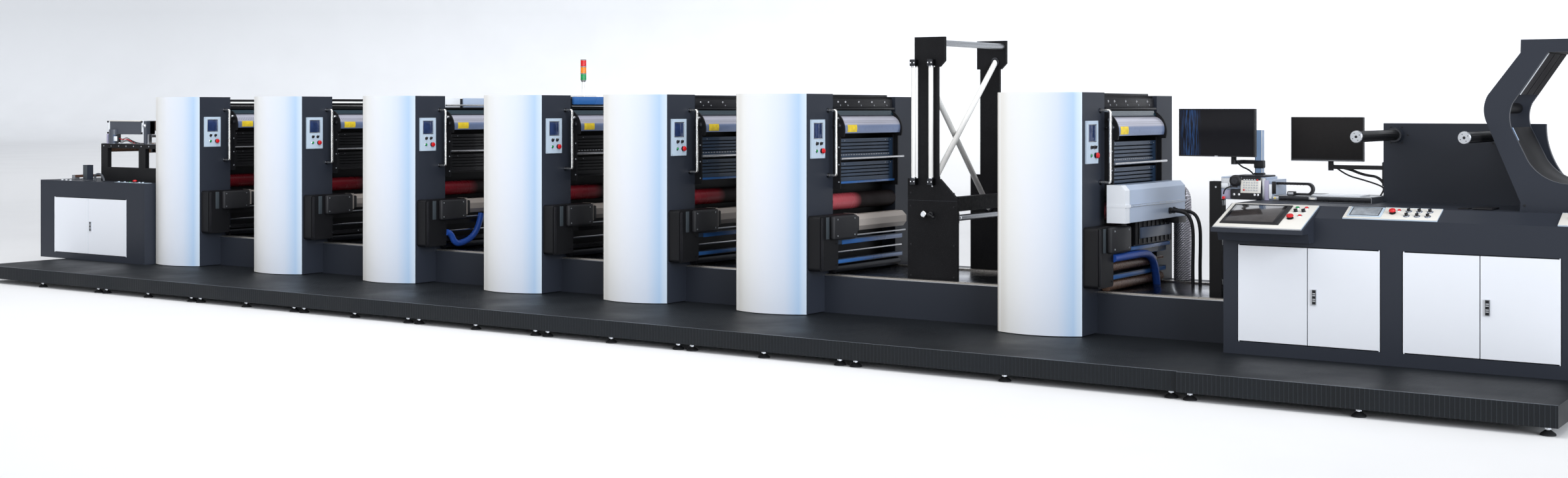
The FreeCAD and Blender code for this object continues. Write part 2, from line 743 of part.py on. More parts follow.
# Towers
def cover_outline(inset):
    """Plan of the front cover: a full convex arc with a rolled left edge."""
    right = S.tower_width - inset
    shoulder = inset - S.cover_shoulder
    bulge = inset - S.cover_bulge
    roll_x = S.cover_roll * 0.3 + inset * 0.7
    roll_y = shoulder - S.cover_roll * 0.08
    return [
        (inset, 0),
        (inset, shoulder + S.cover_roll, (roll_x, shoulder + S.cover_roll * 0.3)),
        (S.cover_roll, roll_y, (S.tower_width * 0.45, bulge)),
        (right, 0),
    ]


def make_cover(number, right):
    """The white sheet cover in front of a tower."""
    bottom = S.board_top + S.cover_lift
    height = S.tower_top - bottom
    body = new_body("Cover%d" % number, at_x(right - S.tower_width), at_y(0), bottom)
    pad(body, body_sketch(body, "XY_Plane", cover_outline(as_size(0))), height)
    hollow = body_sketch(body, "XY_Plane", cover_outline(S.cover_sheet), S.cover_sheet)
    pocket(body, hollow, height - 2 * S.cover_sheet, reverse=True)
    return body


def housing_outline():
    """Side view of the operator side housing, stepped over the bed."""
    bottom = S.board_top + S.cover_lift
    return [
        (0, bottom),
        (S.bed_front, bottom),
        (S.bed_front, S.bed_top),
        (S.housing_depth, S.bed_top),
        (S.housing_depth, S.tower_top),
        (0, S.tower_top),
    ]


def make_housings():
    """The dark housings behind the covers."""
    housings = []
    for number, right in enumerate(TOWERS, start=1):
        body = new_body("Housing%d" % number, at_x(right - S.tower_width), at_y(0), 0)
        pad(body, body_sketch(body, "YZ_Plane", housing_outline()), S.tower_width)
        housings.append(body)
    node(group("OperatorHousings", housings), "operator_housings")


def make_drive_housings():
    """The housings on the far side of the web."""
    housings = []
    for number, right in enumerate(TOWERS, start=1):
        height = S.tower_top - S.drive_drop - S.bed_top
        housings.append(box(
            "Drive%d" % number, at_x(right - S.tower_width), at_y(S.drive_front), S.bed_top,
            S.tower_width, S.back_line - S.drive_front, height))
    node(group("DriveHousings", housings), "drive_housings")


def per_tower(name, label, make, towers=None):
    """One like piece on each tower, kept in one sub-part."""
    pieces = []
    for number, right in enumerate(towers or TOWERS, start=1):
        pieces.append(make("%s%d" % (name, number), right))
    return node(group(name, pieces), label)


def ink_train(name, right):
    """The closed inking unit between the two housings."""
    return box(
        name, at_x(right - S.core_back_off - S.core_width), at_y(S.housing_depth), S.bed_top,
        S.core_width, S.drive_front - S.housing_depth, S.core_top - S.bed_top)


def top_box(name, right):
    """The flat electrical box on top of the inking unit."""
    return box(
        name, at_x(right - S.core_back_off - S.core_width), at_y(S.housing_depth), S.core_top,
        S.top_box_width, S.drive_front - S.housing_depth, S.top_box_height)


def end_plates(name, right):
    """The plates at both ends of the guards, with a round top that stands out."""
    plates = []
    for tag, depth in (("Near", S.housing_depth),
                       ("Far", S.housing_depth + S.end_plate + S.guard_length)):
        body = new_body(name + tag, at_x(right), at_y(depth), 0)
        top = S.end_plate_top - S.end_plate_waist
        outline = [
            (-S.core_back_off, S.end_plate_bottom),
            (S.end_plate_edge, S.end_plate_bottom),
            (S.end_plate_edge, S.end_plate_waist),
            (S.end_plate_reach * 0.95, S.end_plate_waist,
             (S.end_plate_reach * 0.88, S.end_plate_waist + top * 0.62)),
            (S.end_plate_edge * 0.4, S.end_plate_top),
            (-S.core_back_off, S.end_plate_top),
        ]
        pad(body, body_sketch(body, "XZ_Plane", outline), S.end_plate, reverse=True)
        plates.append(body)
    return group(name, plates)


def roller_guard(name, right):
    """The perforated guard that curls over the top rollers."""
    height = S.guard_top - S.guard_bottom
    body = new_body(name, at_x(right), at_y(S.housing_depth + S.end_plate), S.guard_bottom)
    inner = S.guard_reach - S.guard_sheet
    back = -S.core_back_off
    outline = [
        (back, height),
        (back, height - S.guard_sheet),
        (S.guard_reach * 0.2, height - S.guard_sheet, (inner * 0.8, height * 0.72)),
        (inner, 0),
        (S.guard_reach, 0, (S.guard_reach * 0.85, height * 0.74)),
        (S.guard_reach * 0.2, height),
    ]
    pad(body, body_sketch(body, "XZ_Plane", outline), S.guard_length, reverse=True)
    return body


def slotted_guard(name, right, bottom):
    """A sheet flap with a lip along its lower edge and a row of long slots."""
    body = new_body(name, at_x(right), at_y(S.housing_depth + S.end_plate), bottom)
    inner = S.flap_reach - S.guard_sheet
    outline = [
        (inner, S.flap_height),
        (inner, S.guard_sheet * 1.4),
        (S.flap_lip, 0),
        (S.flap_lip + S.guard_sheet * 0.5, S.guard_sheet * 0.9),
        (S.flap_reach, S.guard_sheet * 2),
        (S.flap_reach, S.flap_height),
    ]
    pad(body, body_sketch(body, "XZ_Plane", outline), S.guard_length, reverse=True)
    slot = rectangle(
        S.slot_margin, S.flap_height * 0.3, S.guard_length - 2 * S.slot_margin, S.slot_height)
    first = pocket(body, body_sketch(body, "YZ_Plane", slot), S.flap_reach, reverse=True)
    rows = body.newObject("PartDesign::LinearPattern", name + "Slots")
    rows.Originals = [first]
    rows.Direction = (origin_plane(body, "Z_Axis"), [""])
    rows.Occurrences = 4
    bind(rows, Length=3 * S.slot_pitch)
    body.Tip = rows
    return body


def slotted_guards(name, right):
    """Two flaps, one above the other."""
    upper = S.flap_top - S.flap_height
    flaps = [
        slotted_guard(name + "Upper", right, upper),
        slotted_guard(name + "Lower", right, upper - S.flap_pitch),
    ]
    return group(name, flaps)


def print_roller(name, right):
    """The printing cylinder between the two housings."""
    axis = right - S.core_back_off + S.shaft_clearance + S.print_roller
    return round_bar(
        name, at_x(axis), at_y(S.housing_depth), S.print_roller_z,
        S.print_roller, S.drive_front - S.housing_depth, "y")


def cross_rods(name, right):
    """The silver rod before the slotted guards and the steel rod under the ink beam."""
    start = S.low_box_front + S.low_box_column
    rods = [round_bar(
        name + "Upper", at_x(right + S.end_plate_edge + S.rod_radius + S.shaft_clearance),
        at_y(S.housing_depth), S.rod_z, S.rod_radius, S.drive_front - S.housing_depth, "y")]
    if right is not TOWERS[-1]:
        rods.append(round_bar(
            name + "Lower", at_x(right + S.low_box_reach / 2), at_y(start), S.low_rod_z,
            S.rod_radius, S.drive_front - start, "y"))
    return group(name, rods)


def ink_beam(name, right):
    """The bevelled beam across the unit below the printing cylinder, with its end flange."""
    start = S.low_box_front + S.low_box_depth
    width = S.ink_beam_width
    height = S.ink_beam_height
    body = new_body(name + "Body", at_x(right), at_y(start), S.ink_beam_z)
    outline = [
        (0, 0),
        (width * 0.72, 0),
        (width, height * 0.3),
        (width, height * 0.7),
        (width * 0.62, height),
        (0, height),
    ]
    pad(body, body_sketch(body, "XZ_Plane", outline), S.drive_front - start, reverse=True)
    flange = box(
        name + "Flange", at_x(right), at_y(start), S.ink_beam_z - S.ink_flange,
        width + S.ink_flange, S.ink_flange, height + 2 * S.ink_flange)
    return fuse(name, [body, flange])


def gear_box(name, right):
    """The black gear box: a deep lower part with an arm along its top."""
    depth = S.low_box_depth
    height = S.low_box_height
    column = S.low_box_column
    turn = S.low_box_round
    bulge = turn * 0.293
    body = new_body(name, at_x(right), at_y(S.low_box_front), S.low_box_bottom)
    outline = [
        (0, turn, (bulge, bulge)),
        (turn, 0),
        (column - turn, 0, (column - bulge, bulge)),
        (column, turn),
        (column, height - S.low_box_arm),
        (depth, height - S.low_box_arm),
        (depth, height - turn, (depth - bulge, height - bulge)),
        (depth - turn, height),
        (turn, height, (bulge, height - bulge)),
        (0, height - turn),
    ]
    pad(body, body_sketch(body, "YZ_Plane", outline), S.low_box_reach)
    return body


def low_bars(name, right):
    """Two bars from the gear box to the drive side."""
    start = S.low_box_front + S.low_box_column
    bars = []
    for tag, height in (("Low", S.low_bar_z), ("Mid", S.mid_bar_z)):
        bars.append(box(
            name + tag, at_x(right + S.low_bar), at_y(start), height,
            S.low_bar, S.drive_front - start, S.low_bar))
    return group(name, bars)


def grab_handle(name, right):
    """A bent round bar on the tower's side."""
    height = S.handle_top - S.handle_bottom
    leg = S.handle_reach - S.handle_bend
    path = [
        (0, 0),
        (leg, 0),
        (S.handle_reach, S.handle_bend),
        (S.handle_reach, height - S.handle_bend),
        (leg, height),
        (0, height),
    ]
    return hose(
        name, (right, S.handle_y, S.handle_bottom), S.handle_rod, ("YZ_Plane", "XZ_Plane"), path)


def tower_panel(name, right):
    """The control panel on the tower's side, with its sunk screen."""
    plate = box(
        name + "Plate", at_x(right), at_y(S.panel_y), S.panel_bottom,
        S.panel_sheet, S.panel_width, S.panel_height)
    screen = box(
        name + "Screen", at_x(right + S.panel_sheet * 0.7),
        at_y(S.panel_y + S.panel_width * 0.2), S.panel_bottom + S.panel_height * 0.52,
        S.panel_sheet, S.panel_width * 0.6, S.panel_height * 0.38)
    return cut(name, plate, screen)


def make_towers():
    """Covers, housings and what the towers carry."""
    covers = [make_cover(number, right) for number, right in enumerate(TOWERS, start=1)]
    node(group("FrontCovers", covers), "front_covers")
    make_housings()
    make_drive_housings()
    per_tower("InkTrain", "ink_trains", ink_train)
    per_tower("TopBox", "top_boxes", top_box)
    per_tower("EndPlates", "guard_end_plates", end_plates)
    per_tower("RollerGuard", "roller_guards", roller_guard)
    per_tower("SlottedGuards", "slotted_guards", slotted_guards)
    per_tower("PrintRoller", "printing_cylinders", print_roller)
    per_tower("CrossRods", "cross_rods", cross_rods)
    per_tower("InkBeam", "ink_beams", ink_beam, TOWERS[:-1])
    per_tower("GearBox", "gear_boxes", gear_box)
    per_tower("LowBars", "lower_bars", low_bars)
    per_tower("GrabHandle", "grab_handles", grab_handle)
    per_tower("TowerPanel", "tower_control_panels", tower_panel)


# Signal lamp and overhead rail
def make_signal_lamp():
    """A small box with a three-lamp column on top of tower 4."""
    x = at_x(TOWERS[3] - S.core_back_off - S.lamp_box_side)
    y = at_y(S.housing_depth + S.lamp_box_side * 2)
    z = S.core_top + S.top_box_height
    base = box("LampBase", x, y, z, S.lamp_box_side, S.lamp_box_side, S.lamp_pole * 2)
    pole_x = x + S.lamp_box_side / 2
    pole_y = y + S.lamp_box_side / 2
    pole_z = z + S.lamp_pole * 2
    pole = round_bar("LampPole", pole_x, pole_y, pole_z, S.lamp_pole, S.lamp_pole_height, "z")
    lamps = round_bar(
        "LampColumn", pole_x, pole_y, pole_z + S.lamp_pole_height,
        S.lamp_ring, S.lamp_ring_height * 3, "z")
    node(fuse("SignalLamp", [base, pole, lamps]), "signal_lamp")


def make_overhead_rail():
    """Bars between the tops of the first six towers."""
    bars = []
    for number in range(5):
        start = TOWERS[number] - S.core_back_off
        end = TOWERS[number + 1] - S.core_back_off - S.core_width
        start = start - S.core_width + S.top_box_width
        bars.append(box(
            "RailBar%d" % (number + 1), at_x(start), at_y(S.rail_bar_y), S.rail_bar_z,
            end - start, S.rail_bar, S.rail_bar))
    node(group("OverheadRail", bars), "overhead_rail")


# Web turning frame
def turner_outline():
    """Front view of a frame plate: wide base, slim post and a head."""
    post_right = S.turner_post_x + S.turner_post
    head_right = S.turner_head_x + S.turner_head
    return [
        (0, S.bed_top),
        (S.turner_base, S.bed_top),
        (S.turner_base, S.turner_base_top - S.turner_chamfer),
        (S.turner_base - S.turner_chamfer, S.turner_base_top),
        (post_right, S.turner_base_top),
        (post_right, S.turner_head_z),
        (head_right - S.turner_head_chamfer, S.turner_head_z),
        (head_right, S.turner_head_z + S.turner_head_chamfer),
        (head_right, S.turner_top),
        (S.turner_head_x, S.turner_top),
        (S.turner_head_x, S.turner_head_z),
        (S.turner_post_x, S.turner_head_z),
        (S.turner_post_x, S.turner_base_top),
        (0, S.turner_base_top),
    ]


def make_turner():
    """The two plates, the guide rods, the crossed turn bars and the rollers."""
    pieces = []
    for tag, depth in (("Near", S.turner_near), ("Far", S.turner_far)):
        body = new_body("Turner" + tag, at_x(S.turner_left), at_y(depth), 0)
        sketch = body_sketch(body, "XZ_Plane", turner_outline())
        pad(body, sketch, S.turner_plate, reverse=True)
        pieces.append(body)
    inner = S.turner_near + S.turner_plate
    span = S.turner_far - inner
    pieces.append(box(
        "TurnerBeam", at_x(S.turner_left + S.turner_base - S.cross_beam_width), at_y(inner),
        S.cross_beam_z, S.cross_beam_width, span, S.cross_beam_height))
    pieces.append(round_bar(
        "TurnerKnob", at_x(S.turner_left + S.gauge_x), at_y(S.turner_near - S.gauge_depth),
        S.gauge_z, S.gauge_radius, S.gauge_depth, "y"))
    node(fuse("TurningFrame", pieces), "turning_frame")
    top = round_bar(
        "TurnerTopRoller", at_x(S.turner_left + S.turner_head_x + S.turner_head * 0.87), at_y(inner),
        S.turner_top - 2 * S.cross_roller, S.cross_roller, span, "y")
    low = round_bar(
        "TurnerLowRoller", at_x(S.turner_left + S.turner_base - S.cross_roller), at_y(inner),
        S.low_roller_z, S.cross_roller, span, "y")
    node(group("TurnerRollers", [top, low]), "turning_frame_rollers")
    bars = [
        slanted_bar("TurnBarA", at_x(S.turner_left + S.turn_bar_a_x),
                    (at_y(inner), S.turn_bar_a_near), (at_y(S.turner_far), S.turn_bar_a_far),
                    S.turn_bar),
        slanted_bar("TurnBarB", at_x(S.turner_left + S.turn_bar_b_x),
                    (at_y(inner), S.turn_bar_b_near), (at_y(S.turner_far), S.turn_bar_b_far),
                    S.turn_bar),
    ]
    node(group("TurnerBars", bars + guide_rods()), "turning_frame_bars")


def guide_rods():
    """Two upright rods in clamps on the near plate."""
    low_z = S.turner_base_top - S.rod_clamp
    top_z = S.turner_head_z + S.rod_clamp
    rods = []
    for number in range(2):
        x = S.turner_left + S.guide_rod_x + S.guide_rod_pitch * number
        depth = S.turner_near - S.guide_rod - S.rod_clamp / 4
        pieces = [round_bar(
            "GuideRod%dBar" % number, at_x(x), at_y(depth), low_z, S.guide_rod, top_z - low_z, "z")]
        for tag, height in (("Low", low_z), ("High", top_z - S.rod_clamp)):
            pieces.append(box(
                "GuideRod%d%s" % (number, tag), at_x(x - S.guide_rod), at_y(depth), height,
                2 * S.guide_rod, S.turner_near - depth, S.rod_clamp))
        rods.append(fuse("GuideRod%d" % number, pieces))
    return rods


# Infeed cabinet
def cabinet_shell(name, label, length, front, profile, hollows):
    """A closed cabinet with a room behind each pair of doors."""
    body = new_body(name, at_x(hollows["x"]), at_y(-front), 0)
    pad(body, body_sketch(body, "YZ_Plane", profile), length)
    for x, width, bottom, height, depth in hollows["rooms"]:
        opening = body_sketch(body, "XZ_Plane", rectangle(x, bottom, width, height))
        pocket(body, opening, depth)
    node(body, label)
    return body


def cabinet_profile(front, top):
    """Side view of a cabinet: over the footboard in front, down to the floor behind."""
    step = front + S.bed_front
    depth = front + S.back_line
    return [
        (0, S.board_top),
        (step, S.board_top),
        (step, 0),
        (depth, 0),
        (depth, top),
    ]


def make_infeed_cabinet():
    """The infeed cabinet with one room behind two doors."""
    profile = cabinet_profile(S.cabinet_front, S.cabinet_top)
    profile.append((0, S.cabinet_top))
    width = S.cabinet_length - S.infeed_door_x - S.infeed_door_end
    rooms = [(S.infeed_door_x, width, S.infeed_door_z,
              S.infeed_door_height, S.housing_depth + S.cabinet_front)]
    cabinet_shell("InfeedCabinet", "infeed_cabinet", S.cabinet_length, S.cabinet_front,
                  profile, {"x": as_size(0), "rooms": rooms})


def make_door(name, label, hinge_x, width, height_span, front, side):
    """A flat door flush in its opening, hung on pins at one side."""
    gap = S.door_gap
    bottom, height = height_span
    leaf_width = width - gap * 1.5
    left = hinge_x + gap if side == "left" else hinge_x - width + gap / 2
    leaf = box(name + "Leaf", at_x(left), at_y(-front), bottom + gap,
               leaf_width, S.door_sheet, height - 2 * gap)
    shapes = [leaf]
    pin_x = left + S.hinge_pin if side == "left" else left + leaf_width - S.hinge_pin
    for tag, pin_z in (("Low", bottom + S.hinge_play), ("High", bottom + height - gap)):
        shapes.append(round_bar(
            name + "Pin" + tag, at_x(pin_x), at_y(-front + S.hinge_pin), pin_z,
            S.hinge_pin, gap - S.hinge_play, "z"))
    if side == "right":
        pull_z = bottom + height / 2 - S.pull_height / 2
        shapes.append(box(
            name + "Pull", at_x(left + S.pull_width), at_y(-front - S.pull_depth), pull_z,
            S.pull_width, S.pull_depth, S.pull_height))
    node(fuse(name, shapes), label)


def make_doors():
    """Two doors on the infeed cabinet and four on the console."""
    left = S.infeed_door_x
    right = S.cabinet_length - S.infeed_door_end
    span = (S.infeed_door_z, S.infeed_door_height)
    make_door("InfeedDoorA", "infeed_door_left", left, S.infeed_door_a, span,
              S.cabinet_front, "left")
    make_door("InfeedDoorB", "infeed_door_right", right, right - left - S.infeed_door_a, span,
              S.cabinet_front, "right")
    span = (S.console_door_z, S.console_door_height)
    width = console_door_width()
    for pair in range(2):
        start = S.console_left + console_room_start(pair)
        first = pair * 2 + 1
        make_door("ConsoleDoor%d" % first, "console_door_%d" % first, start,
                  width, span, S.console_front, "left")
        make_door("ConsoleDoor%d" % (first + 1), "console_door_%d" % (first + 1),
                  start + 2 * width, width, span, S.console_front, "right")


def infeed_side(name, depth):
    """A side of the infeed frame: posts, an upper beam and a deep lower beam."""
    height = S.infeed_frame_top - S.cabinet_top
    start = S.cabinet_length - S.infeed_frame_length
    body = new_body(name, at_x(start), at_y(depth), S.cabinet_top)
    outline = rectangle(as_size(0), as_size(0), S.infeed_frame_length, height)
    pad(body, body_sketch(body, "XZ_Plane", outline), S.infeed_plate, reverse=True)
    second = 2 * S.infeed_post + S.infeed_window
    windows = ((S.infeed_post, S.infeed_window),
               (second, S.infeed_frame_length - second - S.infeed_end_post))
    for x, width in windows:
        window = rectangle(x, S.infeed_sill, width, height - S.infeed_sill - S.infeed_head)
        pocket(body, body_sketch(body, "XZ_Plane", window), S.infeed_plate)
    return body


def make_infeed_rollers(frame_x):
    """The rollers between the sides and above them, and the plates that carry the upper one."""
    inner = S.infeed_frame_near + S.infeed_plate
    behind = S.infeed_frame_near + S.guide_box_depth
    span = S.infeed_frame_far - inner
    lower_z = S.infeed_frame_top - S.infeed_roller
    guide_end = frame_x + S.guide_box_x + S.guide_box_length
    rollers = [
        round_bar("InfeedRoller1", at_x(frame_x + S.infeed_post / 2), at_y(inner), lower_z,
                  S.infeed_roller, span, "y"),
        round_bar("InfeedRoller2", at_x(guide_end + S.guide_plate / 2), at_y(inner), lower_z,
                  S.infeed_roller, span, "y"),
        round_bar("InfeedRoller3", at_x(guide_end + S.guide_plate / 2), at_y(behind),
                  S.upper_roller_z, S.upper_roller, S.infeed_frame_far - behind, "y"),
    ]
    node(group("InfeedRollers", rollers), "infeed_rollers")


def guide_plate(tag, frame_x, depth):
    """One of the two plates that carry the roller beside the web guide box."""
    return box(
        "GuidePlate" + tag, at_x(frame_x + S.guide_box_x + S.guide_box_length), at_y(depth),
        S.infeed_frame_top, S.guide_plate, S.infeed_plate,
        S.guide_box_z + S.guide_box_height - S.infeed_frame_top)


def make_infeed_frame():
    """The infeed frame, its rollers, the web guide box and its motor."""
    frame_x = S.cabinet_length - S.infeed_frame_length
    sides = [
        infeed_side("InfeedNear", S.infeed_frame_near),
        infeed_side("InfeedFar", S.infeed_frame_far),
    ]
    node(group("InfeedFrame", sides), "infeed_frame")
    make_infeed_rollers(frame_x)
    guide_x = at_x(frame_x + S.guide_box_x)
    guide = box(
        "GuideBox", guide_x, at_y(S.infeed_frame_near), S.guide_box_z,
        S.guide_box_length, S.guide_box_depth, S.guide_box_height)
    motor = round_bar(
        "GuideMotor", guide_x + 2 * S.guide_motor, at_y(S.infeed_frame_near),
        S.infeed_frame_top, S.guide_motor, S.guide_box_z - S.infeed_frame_top + S.guide_motor, "z")
    near = fuse("WebGuide", [guide, motor, guide_plate("Near", frame_x, S.infeed_frame_near)])
    far = guide_plate("Far", frame_x, S.infeed_frame_far)
    node(group("WebGuideWithPlates", [near, far]), "web_guide_box")
    make_splice_bar()


def make_splice_bar():
    """The splice bar across the infeed cabinet and the upright beside it."""
    start = S.infeed_frame_near
    length = S.infeed_frame_far - start
    bar_z = S.cabinet_top + S.splice_bar_foot
    pieces = [box(
        "SpliceBarTop", at_x(S.splice_bar_x), at_y(start), bar_z,
        S.splice_bar_width, length, S.splice_bar_height)]
    for tag, depth in (("Near", start), ("Far", start + length - S.splice_bar_width)):
        pieces.append(box(
            "SpliceBarFoot" + tag, at_x(S.splice_bar_x), at_y(depth), S.cabinet_top,
            S.splice_bar_width, S.splice_bar_width, S.splice_bar_foot))
    node(fuse("SpliceBar", pieces), "splice_bar")
    upright = box(
        "Upright", at_x(S.upright_x), at_y(-S.upright_y), S.cabinet_top,
        S.upright_side, S.upright_side, S.upright_height)
    node(upright, "infeed_upright")


# Console
def console_profile():
    """Side view of the console with its sloped front top."""
    profile = cabinet_profile(S.console_front, S.console_deck)
    profile.append((S.console_slope, S.console_deck))
    profile.append((0, S.console_lip))
    return profile


def console_door_width():
    """Each of the four doors takes a quarter of what the margins leave."""
    margins = S.console_door_x + S.console_door_mid + S.console_door_end
    return (S.console_length - margins) / 4


def console_room_start(pair):
    """The console's left end to the first or second pair of doors."""
    return S.console_door_x + (2 * console_door_width() + S.console_door_mid) * pair


def make_console():
    """The console with a room behind each pair of doors."""
    rooms = []
    for pair in range(2):
        depth = S.housing_depth + S.console_front
        rooms.append((console_room_start(pair), 2 * console_door_width(), S.console_door_z,
                      S.console_door_height, depth))
    cabinet_shell("Console", "console_cabinet", S.console_length, S.console_front,
                  console_profile(), {"x": S.console_left, "rooms": rooms})


def make_desk():
    """The sloped desk that overhangs the console's left end, with its box below."""
    body = new_body("Desk", at_x(S.console_left), at_y(-S.console_front - S.desk_reach), 0)
    deck_y = S.desk_reach + S.console_slope
    rise = S.console_deck - S.desk_front_z
    outline = [
        (0, S.desk_front_z),
        (deck_y, S.desk_front_z + rise),
        (S.desk_reach, S.console_lip),
        (S.desk_reach, S.desk_front_z - S.desk_box_drop),
        (S.desk_reach * 0.6, S.desk_front_z - S.desk_box_drop),
        (S.desk_reach * 0.5, S.desk_front_z - S.desk_sheet),
        (0, S.desk_front_z - S.desk_sheet),
    ]
    pad(body, body_sketch(body, "YZ_Plane", outline), S.desk_length)
    node(body, "operator_desk")


def sloped_plate(name, x, length, slope, share, lift, thickness):
    """A plate on a slope, from one share of its depth to another."""
    (front_y, front_z), (back_y, back_z) = slope
    run = back_y - front_y
    rise = back_z - front_z
    body = new_body(name, at_x(x), at_y(front_y), front_z)
    low, high = share
    outline = [
        (run * low, rise * low + lift),
        (run * high, rise * high + lift),
        (run * high, rise * high + lift + thickness),
        (run * low, rise * low + lift + thickness),
    ]
    pad(body, body_sketch(body, "YZ_Plane", outline), length)
    return body


def make_slope_panels():
    """The three control panels on the slopes and the screens on two of them."""
    desk = ((-S.console_front - S.desk_reach, S.desk_front_z),
            (S.console_slope - S.console_front, S.console_deck))
    console = ((-S.console_front, S.console_lip),
               (S.console_slope - S.console_front, S.console_deck))
    sheet_z = S.console_panel_sheet
    desk_x = S.console_left + S.panel_margin
    desk_length = S.desk_length - 2 * S.panel_margin
    side_x = S.console_left + S.side_desk_x
    small_x = PRESS_LENGTH - S.small_desk_end - S.small_desk_length
    panels = [
        sloped_plate("DeskPanel", desk_x, desk_length, desk, (0.02, 0.97), 0, sheet_z),
        sloped_plate("SidePanel", side_x, S.side_desk_length, console, (0.03, 0.97), 0, sheet_z),
        sloped_plate("SmallPanel", small_x, S.small_desk_length, console, (0.03, 0.97), 0, sheet_z),
    ]
    node(group("SlopePanels", panels), "console_control_panels")
    screens = [
        sloped_plate("DeskScreen", desk_x + desk_length * 0.05, desk_length * 0.67, desk,
                     (0.14, 0.9), sheet_z, S.screen_sheet),
        sloped_plate("SideScreen", side_x + S.side_desk_length * 0.04, S.side_desk_length * 0.36,
                     console, (0.14, 0.9), sheet_z, S.screen_sheet),
    ]
    node(group("PanelScreens", screens), "console_panel_screens")


def make_backboard():
    """The plate that carries both rewind shafts, with their fixed collars."""
    width = S.console_length - S.board_left
    throat = width - S.board_corner
    height = S.board_edge - S.console_deck
    body = new_body("Backboard", at_x(S.console_left + S.board_left), at_y(S.board_y), S.console_deck)
    outline = [
        (0, 0),
        (width, 0, (throat + S.shaft_cap * 3, height * 0.35)),
        (throat, height),
        (0, height),
    ]
    pad(body, body_sketch(body, "XZ_Plane", outline), S.board_plate, reverse=True)
    shapes = [body]
    bores = []
    collar_y = at_y(S.board_y - S.shaft_collar_length)
    collar_length = S.shaft_collar_length + S.board_plate
    for tag, x in (("A", SHAFT_A), ("B", SHAFT_B)):
        shapes.append(round_bar(
            "Collar" + tag, at_x(x), collar_y, S.shaft_z, S.shaft_collar, collar_length, "y"))
        bores.append(round_bar(
            "Bore" + tag, at_x(x), collar_y, S.shaft_z,
            S.shaft_journal + S.shaft_clearance, collar_length, "y"))
    whole = fuse("BoardWithCollars", shapes)
    node(cut("Board", whole, group("Bores", bores)), "rewind_backboard")


def make_shaft(tag, label, x):
    """A cantilevered rewind shaft with a bright end cap."""
    collar_face = S.board_y - S.shaft_collar_length - S.shaft_clearance
    cap = round_bar(
        "ShaftCap" + tag, at_x(x), at_y(-S.shaft_tip), S.shaft_z,
        S.shaft_cap, S.shaft_cap_length, "y")
    barrel = round_bar(
        "ShaftBarrel" + tag, at_x(x), at_y(-S.shaft_tip), S.shaft_z,
        S.shaft_radius, S.shaft_tip + collar_face, "y")
    journal = round_bar(
        "ShaftJournal" + tag, at_x(x), at_y(-S.shaft_tip), S.shaft_z,
        S.shaft_journal, S.shaft_tip + S.board_y + S.board_plate, "y")
    node(fuse("Shaft" + tag, [cap, barrel, journal]), label)


def roll_guard_outline():
    """Front view of the roll guard: a C with a waist, open to the right."""
    right = S.guard_length_x
    foot = S.console_deck
    crown = S.guard_crown
    waist = S.guard_throat
    arm = S.guard_arm
    return [
        (arm * 2.73, crown),
        (right, crown),
        (right, crown - arm),
        (arm * 4.7, crown - arm),
        (arm * 2.1, waist + arm * 0.4, (arm * 1.89, waist - arm * 0.45)),
        (arm * 2.0, waist - arm * 1.5),
        (arm * 3.2, waist - arm * 4.05, (arm * 4.0, waist - arm * 5.0)),
        (arm * 6.1, waist - arm * 5.8),
        (right, waist - arm * 5.95),
        (right, foot),
        (arm * 2.65, foot),
        (arm * 2.7, foot + arm * 0.7),
        (arm * 0.15, waist - arm * 1.0, (0, waist)),
        (arm * 0.3, waist + arm * 1.04),
        (arm * 2.7, crown - arm * 1.02),
    ]


def guard_wall_outlines():
    """Front view of the walls between the plates: under the crown and in the lower jaw."""
    crown = S.guard_crown
    waist = S.guard_throat
    arm = S.guard_arm
    wall = S.guard_wall
    right = S.guard_length_x
    upper = [
        (right, crown - arm),
        (arm * 4.7, crown - arm),
        (arm * 2.6, waist + arm * 1.15),
        (arm * 2.6 - wall, waist + arm * 1.15),
        (arm * 4.7 - wall, crown - arm + wall),
        (right, crown - arm + wall),
    ]
    lower = [
        (arm * 2.0, waist - arm * 1.5),
        (arm * 3.2, waist - arm * 4.05, (arm * 4.0, waist - arm * 5.0)),
        (arm * 6.1, waist - arm * 5.8),
        (right, waist - arm * 5.95),
        (right, waist - arm * 5.95 - wall),
        (arm * 6.1, waist - arm * 5.8 - wall, (arm * 4.0 - wall, waist - arm * 5.0 - wall)),
        (arm * 3.2 - wall, waist - arm * 4.05 - wall),
        (arm * 2.0 - wall, waist - arm * 1.5),
    ]
    return (("Upper", upper), ("Lower", lower))


def make_roll_guard():
    """The two C plates, the walls between them and the roller at the waist."""
    left = PRESS_LENGTH - S.guard_length_x
    plates = []
    for tag, depth in (("Near", S.guard_near), ("Far", S.guard_far)):
        body = new_body("RollGuard" + tag, at_x(left), at_y(depth), 0)
        pad(body, body_sketch(body, "XZ_Plane", roll_guard_outline()), S.guard_plate, reverse=True)
        plates.append(body)
    node(group("RollGuardPlates", plates), "roll_guard_plates")
    inner = S.guard_near + S.guard_plate
    span = S.guard_far - inner
    ties = []
    for tag, outline in guard_wall_outlines():
        body = new_body("GuardWall" + tag, at_x(left), at_y(inner), 0)
        pad(body, body_sketch(body, "XZ_Plane", outline), span, reverse=True)
        ties.append(body)
    ties.append(round_bar(
        "GuardRoller", at_x(left + S.guard_arm), at_y(inner),
        S.guard_throat, S.infeed_roller * 0.75, span, "y"))
    node(group("RollGuardTies", ties), "roll_guard_walls")


